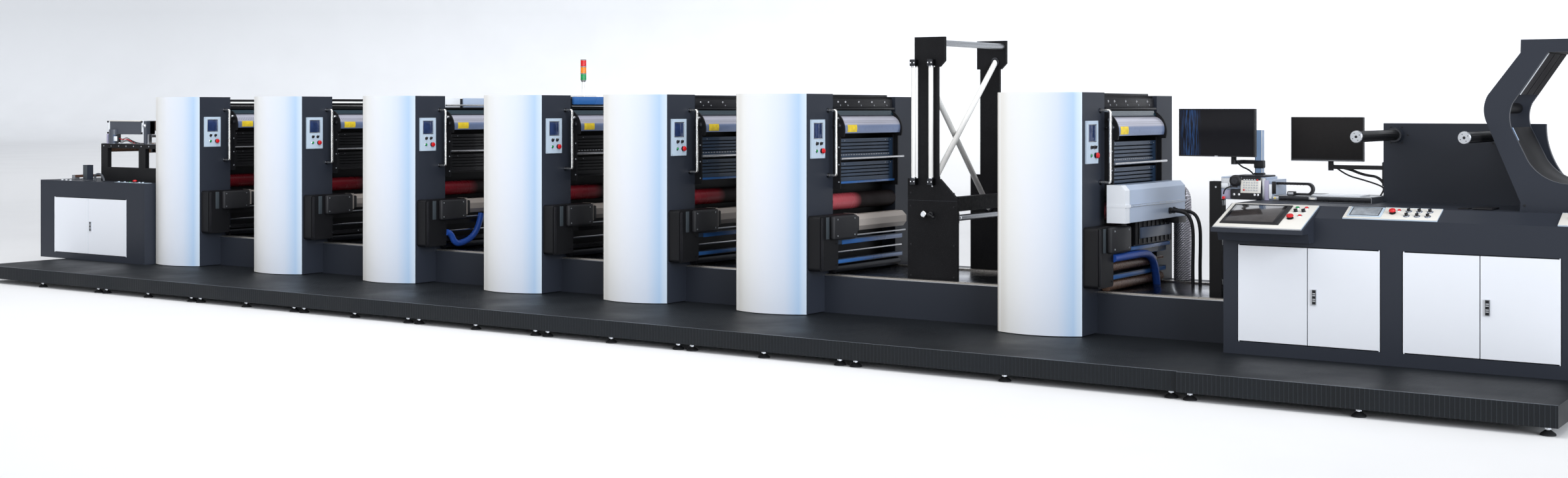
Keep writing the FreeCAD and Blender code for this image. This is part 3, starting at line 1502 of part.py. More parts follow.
# Inspection station
def make_monitor(name, label, x, y, z, length, height, pivot_x):
    """A flat monitor with the upper half of its pivot on its back."""
    screen = box(name + "Screen", at_x(x), at_y(y - S.screen_depth), z, length, S.screen_depth, height)
    pivot_z = z + S.pivot_height + S.pivot_play
    knuckle = round_bar(
        name + "Knuckle", at_x(pivot_x), at_y(y + S.pivot_reach), pivot_z,
        S.pivot_radius, S.pivot_height, "z")
    web = box(
        name + "Web", at_x(pivot_x - S.pivot_radius / 2), at_y(y), pivot_z,
        S.pivot_radius, S.pivot_reach, S.pivot_height)
    node(fuse(name, [screen, knuckle, web]), label)


def pivot_boss(name, pivot_x, y, arm_z):
    """The lower half of a monitor pivot, which stands on its arm."""
    return round_bar(
        name, at_x(pivot_x), at_y(y + S.pivot_reach), arm_z,
        S.pivot_radius, S.arm_drop + S.pivot_height, "z")


def make_station():
    """The post, the inspection head, the mast and both monitors with their arms."""
    post = box(
        "StationPost", at_x(S.station_post_x), at_y(S.station_y), S.bed_top,
        S.station_post, S.station_post, S.station_top - S.bed_top)
    node(post, "inspection_post")
    head_left = S.station_post_x + S.station_post
    head_depth = S.mast_y + S.mast_side - S.station_y
    head = box(
        "Head", at_x(head_left), at_y(S.station_y), S.console_deck,
        S.head_x + S.head_length - head_left, head_depth, S.head_height)
    slide = box(
        "Slide", at_x(S.head_x + S.head_length), at_y(S.station_y), S.console_deck,
        S.slide_length, head_depth, S.head_height * 0.9)
    node(fuse("InspectionHead", [head, slide]), "inspection_head")
    make_keypad()
    make_web_table()
    mast_z = S.console_deck + S.head_height
    mast = box(
        "Mast", at_x(S.mast_x), at_y(S.mast_y), mast_z,
        S.mast_side, S.mast_side, S.mast_top - mast_z)
    node(mast, "monitor_mast")
    make_monitor("MonitorA", "monitor_left", S.screen_a_x, S.station_y, S.screen_a_z,
                 S.screen_a_length, S.screen_a_height, S.pivot_a_x)
    pivot_b_x = S.screen_b_x + S.screen_b_length / 2
    make_monitor("MonitorB", "monitor_right", S.screen_b_x, S.board_y, S.screen_b_z,
                 S.screen_b_length, S.screen_b_height, pivot_b_x)
    arm_a_z = S.screen_a_z - S.arm_drop
    boss_a = pivot_boss("BossA", S.pivot_a_x, S.station_y, arm_a_z)
    arm_a = box(
        "ArmA", at_x(S.pivot_a_x - S.arm_side / 2), at_y(S.station_y + S.pivot_reach), arm_a_z,
        S.arm_side, S.mast_y + S.mast_side - S.station_y - S.pivot_reach, S.arm_side)
    link_a = box(
        "LinkA", at_x(S.pivot_a_x), at_y(S.mast_y), arm_a_z,
        S.mast_x - S.pivot_a_x, S.arm_side, S.arm_side)
    arm_b_z = S.screen_b_z - S.arm_drop
    boss_b = pivot_boss("BossB", pivot_b_x, S.board_y, arm_b_z)
    arm_b = box(
        "ArmB", at_x(pivot_b_x), at_y(S.board_y + S.board_plate), arm_b_z,
        S.console_left + S.board_left + S.arm_side - pivot_b_x,
        S.pivot_reach - S.board_plate + S.arm_side / 2, S.arm_side)
    arms = [fuse("MonitorArmA", [boss_a, arm_a, link_a]), fuse("MonitorArmB", [boss_b, arm_b])]
    node(group("MonitorArms", arms), "monitor_arms")


def make_keypad():
    """The leaning keypad on the front of the inspection head."""
    bottom = S.console_deck + S.head_height - S.keypad_height
    body = new_body("Keypad", at_x(S.keypad_x), at_y(S.station_y - S.keypad_lean), bottom)
    outline = [
        (0, 0),
        (S.keypad_lean, 0),
        (S.keypad_lean, S.keypad_height),
        (S.keypad_lean * 0.4, S.keypad_height),
    ]
    pad(body, body_sketch(body, "YZ_Plane", outline), S.keypad_width)
    node(body, "inspection_keypad")


def make_web_table():
    """The table that carries the web from the inspection head to the rewind, and its cable chain."""
    start = S.head_x + S.head_length + S.slide_length
    length = S.console_left + S.board_left - start
    table = box(
        "WebTable", at_x(start), at_y(S.table_near), S.console_deck,
        length, S.board_y - S.table_near, S.table_height)
    node(table, "web_table")
    run = S.chain_length
    height = S.chain_height
    band = S.chain_band
    body = new_body(
        "CableChain", at_x(start), at_y(S.table_near + S.chain_width),
        S.console_deck + S.table_height)
    outline = [
        (0, height),
        (run, height, (run + height / 2, height / 2)),
        (run, 0),
        (run * 0.4, 0),
        (run * 0.4, band),
        (run, band, (run + height / 2 - band, height / 2)),
        (run, height - band),
        (0, height - band),
    ]
    pad(body, body_sketch(body, "XZ_Plane", outline), S.chain_width, reverse=True)
    node(body, "cable_chain")


# Lamp unit on tower 7
def make_uv_box():
    """The lamp box on the side of tower 7, with a rib round its middle."""
    start = TOWERS[-1] + S.end_plate_edge
    depth = S.uv_box_end - S.uv_box_front
    body = new_body("UvBox", at_x(start), at_y(S.uv_box_front), S.uv_box_z)
    width = S.uv_box_length
    height = S.uv_box_height
    middle = height * 0.45
    rib = S.uv_box_rib
    outline = [
        (0, 0),
        (width, 0),
        (width, middle - rib),
        (width + rib, middle - rib),
        (width + rib, middle + rib),
        (width, middle + rib),
        (width, height - S.uv_box_chamfer),
        (width - S.uv_box_chamfer, height),
        (0, height),
    ]
    pad(body, body_sketch(body, "XZ_Plane", outline), depth, reverse=True)
    node(body, "uv_lamp_box")
    cassette = box(
        "LampCassette", at_x(TOWERS[-1] + S.cassette_inset), at_y(S.cassette_near), S.cassette_z,
        S.low_box_reach - S.cassette_inset, S.drive_front - S.cassette_near,
        S.uv_box_z - S.cassette_z)
    node(cassette, "lamp_cassette")


def make_duct_and_hoses():
    """The lamp's exhaust duct, its two supply cables and the hoses on towers 3 and 7."""
    side = TOWERS[-1] + S.end_plate_edge
    duct = hose(
        "Duct", (side + S.uv_box_length / 2, S.uv_box_end, S.duct_mouth_z),
        S.duct_radius, ("XZ_Plane", "YZ_Plane"),
        bend_down(S.hose_run, S.duct_bend, S.duct_mouth_z - S.bed_top))
    node(duct, "lamp_duct")
    height = S.uv_box_z + S.uv_box_height * 0.2
    cables = []
    for number in range(2):
        cables.append(hose(
            "Cable%d" % number,
            (side + S.uv_box_length, S.cable_y + S.cable_pitch * number, height),
            S.cable_radius, ("YZ_Plane", "XZ_Plane"),
            bend_down(S.hose_run * (number + 1), S.cable_bend, height - S.bed_top)))
    node(group("LampCables", cables), "lamp_cables")
    hose_x = 2 * S.low_bar + S.hose_radius + S.shaft_clearance
    start_y = S.low_box_front + S.low_box_column
    loop = hose(
        "Hose3", (TOWERS[2] + hose_x, start_y, S.loop_z), S.hose_radius,
        ("XZ_Plane", "YZ_Plane"),
        sagging_loop(S.hose_run, S.loop_bend, S.loop_run, S.loop_rise))
    long_hose = hose(
        "Hose7", (TOWERS[6] + hose_x, start_y, S.hose_z), S.hose_radius,
        ("XZ_Plane", "YZ_Plane"),
        bend_down(S.hose_length, S.hose_bend, S.hose_z - S.bed_top))
    node(group("TowerHoses", [loop, long_hose]), "tower_hoses")


make_footboard()
make_footboard_feet()
make_bed()
make_bed_rails()
make_towers()
make_signal_lamp()
make_overhead_rail()
make_turner()
make_infeed_cabinet()
make_doors()
make_infeed_frame()
make_console()
make_desk()
make_slope_panels()
make_backboard()
make_shaft("A", "rewind_shaft_left", SHAFT_A)
make_shaft("B", "rewind_shaft_right", SHAFT_B)
make_roll_guard()
make_station()
make_uv_box()
make_duct_and_hoses()

doc.recompute()
for item in doc.Objects:
    if "Invalid" in item.State or "Error" in item.State:
        raise RuntimeError("failed: %s %s" % (item.Label, item.State))
for item in NODES:
    if item.Shape.isNull() or not item.Shape.isValid():
        raise RuntimeError("no valid shape: " + item.Label)

os.makedirs("parts", exist_ok=True)
for item in NODES:
    item.Shape.exportStep("parts/%s.step" % item.Label)
print("wrote %d sub-parts" % len(NODES))
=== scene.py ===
"""The looks of the label press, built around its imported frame."""
import math

import bmesh
import bpy
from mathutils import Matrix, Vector


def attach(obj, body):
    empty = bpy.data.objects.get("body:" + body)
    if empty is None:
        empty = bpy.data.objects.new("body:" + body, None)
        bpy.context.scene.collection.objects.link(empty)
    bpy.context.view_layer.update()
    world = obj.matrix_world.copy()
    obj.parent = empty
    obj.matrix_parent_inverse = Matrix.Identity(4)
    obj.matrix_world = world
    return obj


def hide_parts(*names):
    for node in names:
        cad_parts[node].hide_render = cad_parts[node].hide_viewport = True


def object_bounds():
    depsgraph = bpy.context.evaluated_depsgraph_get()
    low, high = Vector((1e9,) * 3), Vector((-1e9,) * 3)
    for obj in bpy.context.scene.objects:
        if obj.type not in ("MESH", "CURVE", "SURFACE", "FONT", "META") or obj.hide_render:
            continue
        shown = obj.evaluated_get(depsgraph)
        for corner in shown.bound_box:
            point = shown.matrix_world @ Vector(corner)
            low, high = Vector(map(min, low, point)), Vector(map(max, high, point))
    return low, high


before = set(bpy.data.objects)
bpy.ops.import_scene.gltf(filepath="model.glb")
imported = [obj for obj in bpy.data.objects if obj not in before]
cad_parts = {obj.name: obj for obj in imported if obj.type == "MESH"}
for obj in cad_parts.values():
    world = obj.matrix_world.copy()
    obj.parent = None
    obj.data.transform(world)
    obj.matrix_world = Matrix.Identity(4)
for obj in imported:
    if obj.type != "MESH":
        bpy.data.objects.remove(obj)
CAD_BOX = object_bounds()

bl_info = {
    "name": "Label Press Looks",
    "version": (1, 0, 0),
    "blender": (4, 5, 0),
    "location": "View3D > Sidebar > Label Press",
    "description": "Dresses the packed label press with its finishes, controls and hoses",
    "category": "Object",
}

MM = 0.001
# Depth of the tower front plane behind the footboard's front edge.
FRONT_REACH = 1.265
HALF_LENGTH = CAD_BOX[1].x
FRONT_LINE = CAD_BOX[0].y + FRONT_REACH
# Stations of the right side of each printing tower, in millimetres from the left end.
TOWERS = (2678, 4360, 6042, 7724, 9219, 10714, 13239)
TOWER_WIDTH = 700
# Stations where the console starts and where the press ends.
CONSOLE_START = 14428
PRESS_END = 16858
# Depth of the cabinet doors' outer faces.
DOOR_FRONT = -209
# The guards' arc over the rollers: its radius, and its centre from the tower's side and floor.
ARC_RADIUS, ARC_X, ARC_Z = 107.6, -3.7, 1762.8
# Stations and height of the rewind shafts.
SHAFTS = (("left", 15368), ("right", 16077))
SHAFT_Z = 1741
X, Y, Z = range(3)


# ---------------------------------------------------------------- sizes and colours
def colour(name, description, default):
    """A colour that a user can change."""
    return bpy.props.FloatVectorProperty(
        name=name, description=description, default=default, subtype="COLOR",
        size=3, min=0, max=1)


def length(name, description, default):
    """A length that a user can change."""
    return bpy.props.FloatProperty(
        name=name, description=description, default=default, min=0, unit="LENGTH",
        subtype="DISTANCE")


class PressColours(bpy.types.PropertyGroup):
    """Colours of the press's finishes."""

    dark: colour("Dark paint", "Housings, cabinets and bed", (0.022, 0.026, 0.036))
    white: colour("White paint", "Front covers and cabinet doors", (0.76, 0.78, 0.82))
    black: colour("Black paint", "Frames, ink trains and gear boxes", (0.007, 0.007, 0.008))
    blanket: colour("Blanket", "Printing cylinders", (0.22, 0.012, 0.020))
    beam: colour("Beam", "Ink beams", (0.44, 0.39, 0.35))
    guard: colour("Navy guards", "Slotted guards and lower bars", (0.018, 0.040, 0.078))
    hose: colour("Blue hoses", "Hoses on two of the towers", (0.018, 0.075, 0.36))
    case: colour("Silver case", "Lamp box of the last tower", (0.36, 0.43, 0.55))


class PressSizes(bpy.types.PropertyGroup):
    """Sizes of what is added to the frame."""

    button: length("Button", "Radius of a push button", 0.0130)
    tread_pitch: length("Tread pitch", "Distance between the lozenges of the tread plate", 0.030)


# ---------------------------------------------------------------- places
def at(x, y, z):
    """A point given in millimetres from the left end, the tower front plane and the floor."""
    return Vector((x * MM - HALF_LENGTH, y * MM + FRONT_LINE, z * MM))


# ---------------------------------------------------------------- meshes
def corner_spot(corner):
    """A corner's place to a hundredth of a millimetre, to sort corners by."""
    return tuple(round(value, 5) for value in corner.co)


def facet_spot(facet):
    """A facet's corners in order of place, to sort facets by."""
    return sorted(corner_spot(corner) for corner in facet.verts)


class Shape:
    """A mesh in the making, in millimetres from the left end, the tower plane and the floor."""

    def __init__(self):
        self.bm = bmesh.new()

    def add(self, verts, faces):
        made = [self.bm.verts.new(v) for v in verts]
        for face in faces:
            self.bm.faces.new([made[i] for i in face])
        return made

    def block(self, low, high, bevel=0.0, place=None, segments=2):
        """A block between two corners with rounded edges, moved by a place function if given."""
        (x0, y0, z0), (x1, y1, z1) = low, high
        corners = [(x, y, z) for z in (z0, z1) for y in (y0, y1) for x in (x0, x1)]
        verts = [place(*corner) if place else Vector(corner) for corner in corners]
        faces = [(0, 2, 3, 1), (4, 5, 7, 6), (0, 1, 5, 4), (2, 6, 7, 3), (0, 4, 6, 2), (1, 3, 7, 5)]
        made = self.add(verts, faces)
        if bevel:
            # Each edge once, in the same order on every run, which a set wouldn't give.
            edges = dict.fromkeys(e for v in made for e in v.link_edges)
            bmesh.ops.bevel(
                self.bm, geom=list(edges), offset=bevel, segments=segments, profile=0.5,
                affect="EDGES", clamp_overlap=True)

    def ring(self, low, high, width, across, up, bevel=0.0, place=None):
        """A frame of four bars that lies in two of the directions X, Y and Z."""
        for axis, far in ((up, False), (up, True), (across, False), (across, True)):
            one, two = list(low), list(high)
            if axis == across:
                one[up] += width
                two[up] -= width
            if far:
                one[axis] = high[axis] - width
            else:
                two[axis] = low[axis] + width
            self.block(one, two, bevel, place)

    def circle(self, centre, side, other, radius, count):
        """The vertices of a circle in the plane of two directions."""
        verts = []
        for step in range(count):
            angle = 2 * math.pi * step / count
            spoke = side * math.cos(angle) + other * math.sin(angle)
            verts.append(self.bm.verts.new(centre + spoke * radius))
        return verts

    def skin(self, rings):
        """Faces from ring to ring, closed at both ends."""
        for low, high in zip(rings, rings[1:]):
            for step in range(len(low)):
                after = (step + 1) % len(low)
                self.bm.faces.new((low[step], low[after], high[after], high[step]))
        self.bm.faces.new(list(reversed(rings[0])))
        self.bm.faces.new(rings[-1])

    def turned(self, centre, axis, profile, count=24):
        """A turned piece: profile points are (distance along the axis, radius)."""
        axis = Vector(axis).normalized()
        side = axis.orthogonal().normalized()
        other = axis.cross(side)
        self.skin([
            self.circle(Vector(centre) + axis * along, side, other, radius, count)
            for along, radius in profile])

    def plate(self, outline, start, end):
        """A plate from a front view outline of (x, z), between two depths."""
        count = len(outline)
        verts = [Vector((x, start, z)) for x, z in outline]
        verts += [Vector((x, end, z)) for x, z in outline]
        faces = [tuple(range(count)), tuple(reversed(range(count, 2 * count)))]
        for step in range(count):
            after = (step + 1) % count
            faces.append((step, step + count, after + count, after))
        self.add(verts, faces)

    def tube(self, points, radius, count=12):
        """A round tube along points."""
        points = [Vector(p) for p in points]
        rings = []
        side = None
        for index, point in enumerate(points):
            before = points[max(index - 1, 0)]
            after = points[min(index + 1, len(points) - 1)]
            axis = (after - before).normalized()
            if side is None:
                side = axis.orthogonal().normalized()
            side = (side - axis * side.dot(axis)).normalized()
            size = radius[index] if hasattr(radius, "__len__") else radius
            rings.append(self.circle(point, side, axis.cross(side), size, count))
        self.skin(rings)

    def finish(self, name, material, body="frame"):
        """Makes the object, which rides on a body."""
        for vert in self.bm.verts:
            vert.co = at(*vert.co)
        # A bevel leaves its corners and facets in another order on each run, so both are sorted.
        for parts, spot in ((self.bm.verts, corner_spot), (self.bm.faces, facet_spot)):
            for number, part in enumerate(sorted(parts, key=spot)):
                part.index = number
            parts.sort()
        bmesh.ops.recalc_face_normals(self.bm, faces=self.bm.faces)
        mesh = bpy.data.meshes.new(name)
        self.bm.to_mesh(mesh)
        self.bm.free()
        mesh.shade_smooth()
        mesh.set_sharp_from_angle(angle=math.radians(35))
        piece = bpy.data.objects.new(name, mesh)
        bpy.context.scene.collection.objects.link(piece)
        mesh.materials.append(material)
        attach(piece, body)
        return piece


class Kit:
    """Like pieces sorted by their finish; each finish becomes one object."""

    def __init__(self, name, body="frame"):
        self.name = name
        self.body = body
        self.shapes = {}

    def __getitem__(self, finish):
        return self.shapes.setdefault(finish, Shape())

    def make(self):
        """Makes the objects."""
        for finish, shape in self.shapes.items():
            name = self.name + finish.title().replace(" ", "")
            shape.finish(name, FINISHES[finish], self.body)

    def knob(self, place, axis, radius=13.0):
        """A black rotary switch with a pointer on a steel collar."""
        place, axis = Vector(place), Vector(axis).normalized()
        self["chrome"].turned(place, axis, [(0, radius * 1.35), (3, radius * 1.35), (4.5, radius * 1.1)])
        self["black plastic"].turned(
            place, axis, [(3, radius), (15, radius * 0.92), (17, radius * 0.8)])
        side = Vector((0, 0.5, 1)) if abs(axis.x) > 0.5 else Vector((1, 0.4, 0.6))
        side = (side - axis * side.dot(axis)).normalized()
        across = axis.cross(side)
        start = place + axis * 16

        def pointer(x, y, z):
            return start + side * x + across * y + axis * z

        self["black plastic"].block((-radius, -3, 0), (radius, 3, 8), 1.5, pointer)

    def button(self, place, axis, finish, radius=11.0):
        """A push button in a steel collar."""
        self["chrome"].turned(place, axis, [(0, radius * 1.4), (4, radius * 1.4), (6, radius * 1.15)])
        self[finish].turned(place, axis, [(4, radius), (9, radius), (11, radius * 0.8)])

    def stop(self, place, axis, radius=22.0):
        """A red mushroom stop button on a dark collar."""
        self["black plastic"].turned(place, axis, [
            (0, radius * 0.95), (6, radius * 0.95), (8, radius * 0.6), (14, radius * 0.6)])
        self["red"].turned(place, axis, [
            (13, radius * 0.6), (17, radius), (24, radius), (30, radius * 0.82), (33, radius * 0.45)])

    def bolt(self, place, axis, radius=6.0, finish="chrome"):
        """A six-sided bolt head on a washer."""
        self[finish].turned(place, axis, [(0, radius * 1.5), (1.6, radius * 1.5)], 16)
        self[finish].turned(
            place, axis, [(1.6, radius), (radius, radius), (radius * 1.15, radius * 0.8)], 6)


def smooth_path(corners, steps=10):
    """Points on a smooth curve that follows corners from the first to the last."""
    corners = [Vector(corner) for corner in corners]
    points = [corners[0]]
    for index in range(1, len(corners) - 1):
        start = points[-1]
        last = index == len(corners) - 2
        end = corners[-1] if last else (corners[index] + corners[index + 1]) / 2
        for step in range(1, steps + 1):
            share = step / steps
            one = start.lerp(corners[index], share)
            two = corners[index].lerp(end, share)
            points.append(one.lerp(two, share))
    return points


def evenly(points, pitch):
    """Points a pitch apart along a curve, up to its last point."""
    spaced = [points[0]]
    for point in points[1:]:
        while (point - spaced[-1]).length >= pitch:
            spaced.append(spaced[-1].lerp(point, pitch / (point - spaced[-1]).length))
    return spaced[:-1] + [points[-1]]


# ---------------------------------------------------------------- finishes
class Finish:
    """A node material in the making."""

    def __init__(self, name):
        self.material = bpy.data.materials.new(name)
        self.material.use_nodes = True
        self.nodes = self.material.node_tree.nodes
        self.links = self.material.node_tree.links
        self.shader = self.nodes["Principled BSDF"]
        self.place = self.nodes.new("ShaderNodeTexCoord").outputs["Object"]

    def mapped(self, scale):
        """Object coordinates stretched by a scale in each direction."""
        mapping = self.nodes.new("ShaderNodeMapping")
        mapping.inputs["Scale"].default_value = scale
        self.links.new(self.place, mapping.inputs["Vector"])
        return mapping.outputs["Vector"]

    def noise(self, scale, stretch=(1, 1, 1), detail=4.0):
        """Cloudy noise."""
        node = self.nodes.new("ShaderNodeTexNoise")
        node.inputs["Scale"].default_value = scale
        node.inputs["Detail"].default_value = detail
        self.links.new(self.mapped(stretch), node.inputs["Vector"])
        return node.outputs["Fac"]

    def ramp(self, source, stops):
        """Colours along a value."""
        node = self.nodes.new("ShaderNodeValToRGB")
        elements = node.color_ramp.elements
        elements[0].position = stops[0][0]
        elements[1].position = stops[-1][0]
        for place, _ in stops[1:-1]:
            elements.new(place)
        for element, (_, tone) in zip(elements, stops):
            element.color = (*tone, 1)
        self.links.new(source, node.inputs["Fac"])
        return node.outputs["Color"]

    def span(self, source, low, high, start=0.3, end=0.7):
        """A value moved to a new range."""
        node = self.nodes.new("ShaderNodeMapRange")
        for socket, value in (("From Min", start), ("From Max", end), ("To Min", low), ("To Max", high)):
            node.inputs[socket].default_value = value
        self.links.new(source, node.inputs["Value"])
        return node.outputs["Result"]

    def math(self, kind, first, second=0.0):
        """One sum on values."""
        node = self.nodes.new("ShaderNodeMath")
        node.operation = kind
        for index, value in enumerate((first, second)):
            if hasattr(value, "is_linked"):
                self.links.new(value, node.inputs[index])
            else:
                node.inputs[index].default_value = value
        return node.outputs["Value"]

    def axes(self):
        """The three object coordinates."""
        node = self.nodes.new("ShaderNodeSeparateXYZ")
        self.links.new(self.place, node.inputs["Vector"])
        return node.outputs["X"], node.outputs["Y"], node.outputs["Z"]

    def mix(self, share, first, second):
        """A mix of two colours by a share."""
        node = self.nodes.new("ShaderNodeMix")
        node.data_type = "RGBA"
        self.links.new(share, node.inputs["Factor"])
        for socket, value in ((node.inputs[6], first), (node.inputs[7], second)):
            if hasattr(value, "is_linked"):
                self.links.new(value, socket)
            else:
                socket.default_value = (*value, 1)
        return node.outputs[2]

    def bump(self, height, depth, strength=1.0):
        """Relief from a height."""
        node = self.nodes.new("ShaderNodeBump")
        node.inputs["Strength"].default_value = strength
        node.inputs["Distance"].default_value = depth
        self.links.new(height, node.inputs["Height"])
        self.links.new(node.outputs["Normal"], self.shader.inputs["Normal"])

    def set(self, **values):
        """Constant values on the shader's own sockets."""
        names = {"metallic": "Metallic", "coat": "Coat Weight", "coat_roughness": "Coat Roughness",
                 "specular": "Specular IOR Level"}
        for name, value in values.items():
            self.shader.inputs[names[name]].default_value = value
        return self

    def colour_from(self, source):
        self.links.new(source, self.shader.inputs["Base Color"])

    def roughness_from(self, source):
        self.links.new(source, self.shader.inputs["Roughness"])


def shade(base, factor):
    """A lighter or darker shade."""
    return tuple(min(1.0, channel * factor) for channel in base)


def painted(name, base, low, high, coat=0.0, grain=900.0, depth=0.00006, spread=0.06, specular=0.4):
    """Sprayed paint: slight clouds of shade, uneven gloss and a fine skin."""
    finish = Finish(name)
    clouds = finish.noise(1.3, detail=2.0)
    finish.colour_from(finish.ramp(
        clouds, [(0.3, shade(base, 1 - spread)), (0.7, shade(base, 1 + spread))]))
    finish.roughness_from(finish.span(finish.noise(2.0, detail=2.0), low, high))
    finish.bump(finish.noise(grain, detail=2.0), depth)
    return finish.set(coat=coat, coat_roughness=0.2, specular=specular).material


def cover_paint_with_painted_light(name, base):
    """White paint that turns cream towards the left and light blue towards the right by the way the
    surface faces: painted light, with a painted highlight beside the cream and painted blue reflection
    and shade on the right.
    """
    finish = Finish(name)
    split = finish.nodes.new("ShaderNodeSeparateXYZ")
    finish.links.new(finish.place.node.outputs["Normal"], split.inputs["Vector"])
    turn = finish.span(split.outputs["X"], 0.0, 1.0, -1.0, 1.0)
    # Painted light by facing (object normal X): cream and a painted highlight facing left, painted blue
    # reflection and shade with a darker blue line facing right.
    finish.colour_from(finish.ramp(turn, [
        (0.28, (0.80, 0.77, 0.71)), (0.36, (0.86, 0.86, 0.84)), (0.50, shade(base, 0.94)),
        (0.68, (0.52, 0.57, 0.65)), (0.765, (0.33, 0.45, 0.60)), (0.80, (0.48, 0.55, 0.62))]))
    finish.roughness_from(finish.span(finish.noise(2.0, detail=2.0), 0.30, 0.36))
    finish.bump(finish.noise(900.0, detail=2.0), 0.00004)
    return finish.set(coat=0.25, coat_roughness=0.2).material


def steel(name, base, low, high, stretch, depth=0.00003):
    """Metal with a grain along one direction."""
    finish = Finish(name)
    grain = finish.noise(60.0, stretch=stretch, detail=5.0)
    finish.colour_from(finish.ramp(grain, [(0.35, shade(base, 0.82)), (0.65, shade(base, 1.1))]))
    finish.roughness_from(finish.span(grain, low, high))
    finish.bump(grain, depth)
    return finish.set(metallic=1.0).material


def moulded(name, base, low, high, grain=500.0, depth=0.0001, spread=0.12, specular=0.35):
    """Plastic or rubber with a fine grain."""
    finish = Finish(name)
    finish.colour_from(finish.ramp(
        finish.noise(30.0), [(0.3, shade(base, 1 - spread)), (0.7, shade(base, 1 + spread))]))
    finish.roughness_from(finish.span(finish.noise(90.0), low, high))
    finish.bump(finish.noise(grain, detail=3.0), depth)
    return finish.set(specular=specular).material


def tread_plate(name, base, pitch):
    """Dark sheet with raised lozenges that alternate in direction, worn where feet go."""
    finish = Finish(name)
    x, y, _ = finish.axes()
    turn = 1 / pitch
    along = finish.math("MULTIPLY", x, turn)
    across = finish.math("MULTIPLY", y, turn)
    first = finish.math("ADD", along, across)
    second = finish.math("SUBTRACT", along, across)
    row = finish.math("FLOOR", first)
    column = finish.math("FLOOR", second)
    even = finish.math("MODULO", finish.math("ABSOLUTE", finish.math("ADD", row, column)), 2.0)
    odd = finish.math("SUBTRACT", 1.0, even)
    u, v = [
        finish.math("ABSOLUTE", finish.math("SUBTRACT", finish.math("FRACT", value), 0.5))
        for value in (first, second)]
    long_u, long_v = [
        finish.math("MULTIPLY", finish.math("ADD", one, finish.math("MULTIPLY", other, 3.0)), share)
        for one, other, share in ((u, v, even), (v, u, odd))]
    spread = finish.math("ADD", long_u, long_v)
    lozenge = finish.span(spread, 1.0, 0.0, 0.30, 0.46)
    wear = finish.noise(1.7, detail=6.0)
    plain = finish.ramp(wear, [(0.3, shade(base, 0.8)), (0.7, shade(base, 1.25))])
    finish.colour_from(finish.mix(finish.math("MULTIPLY", lozenge, 0.7), plain, shade(base, 2.2)))
    finish.roughness_from(finish.span(wear, 0.42, 0.62))
    finish.bump(lozenge, 0.0016)
    return finish.set(specular=0.25).material


def dotted_guard(name, upper, lower, pitch):
    """Bright sheet, bluer below, with two rows of small round holes."""
    finish = Finish(name)
    _, y, z = finish.axes()
    step = finish.math("FRACT", finish.math("MULTIPLY", y, 1 / pitch))
    aside = finish.math("MULTIPLY", finish.math("SUBTRACT", step, 0.5), pitch)
    row = finish.math("ABSOLUTE", finish.math("SUBTRACT", z, 1.819))
    away = finish.math("SUBTRACT", row, 0.007)
    squares = finish.math(
        "ADD", finish.math("MULTIPLY", aside, aside), finish.math("MULTIPLY", away, away))
    hole = finish.span(finish.math("SQRT", squares), 1.0, 0.0, 0.0035, 0.0045)
    grain = finish.noise(40.0, stretch=(1, 8, 1))
    high = finish.span(z, 0.0, 1.0, 1.785, 1.80)
    sheet = finish.mix(high, lower, upper)
    finish.colour_from(finish.mix(hole, sheet, (0.02, 0.022, 0.028)))
    finish.roughness_from(finish.span(grain, 0.26, 0.42))
    finish.bump(hole, -0.001)
    return finish.set(metallic=0.35, coat=0.3).material


def screen_glass(name, base, coat=0.35):
    """Dark glossy glass with a soft sheen and faint dust."""
    finish = Finish(name)
    dust = finish.noise(14.0, detail=8.0)
    finish.colour_from(finish.ramp(dust, [(0.35, base), (0.75, shade(base, 1.8))]))
    finish.roughness_from(finish.span(dust, 0.08, 0.18, 0.3, 0.8))
    return finish.set(coat=coat, coat_roughness=0.03, specular=0.3).material


def monitor_glass(name, base, window_reflection_x):
    """Black glass with a painted reflection: a few blue streaks of a window near its left side."""
    finish = Finish(name)
    x, _, _ = finish.axes()
    # Blue streaks around one place along X: a painted reflection of a window.
    aside = finish.math("ABSOLUTE", finish.math("SUBTRACT", x, window_reflection_x))
    near = finish.span(aside, 1.0, 0.0, 0.02, 0.09)
    lines = finish.span(finish.noise(26.0, stretch=(5, 1, 0.25)), 0.0, 1.0, 0.46, 0.62)
    finish.colour_from(finish.mix(finish.math("MULTIPLY", near, lines), base, (0.022, 0.062, 0.17)))
    finish.roughness_from(finish.span(finish.noise(14.0, detail=8.0), 0.16, 0.26, 0.3, 0.8))
    return finish.set(specular=0.12).material


def blanket(name, base):
    """The cylinders' smooth rubber, red on the near half and dark beyond, with painted shade towards the
    left towers and a painted pink highlight on the right ones.
    """
    finish = Finish(name)
    x, y, _ = finish.axes()
    # Red on the near part of each cylinder, dark on the far part.
    far_share = finish.span(y, 0.0, 1.0, 0.50, 0.62)
    # Painted light along the press: painted shade darkens the cylinders on the left towers and a painted
    # pink highlight lightens them on the right.
    bright = finish.ramp(finish.span(x, 0.0, 1.0, -6.0, 3.0), [
        (0.0, shade(base, 0.35)), (0.55, shade(base, 0.7)), (0.8, base), (1.0, (0.52, 0.10, 0.12))])
    finish.colour_from(finish.mix(far_share, bright, (0.012, 0.007, 0.007)))
    sheen = finish.noise(3.0, stretch=(1, 2, 1))
    dull = finish.math("MULTIPLY", far_share, 0.4)
    finish.roughness_from(finish.math("ADD", finish.span(sheen, 0.22, 0.32), dull))
    finish.bump(sheen, 0.0001)
    return finish.set(specular=0.2).material


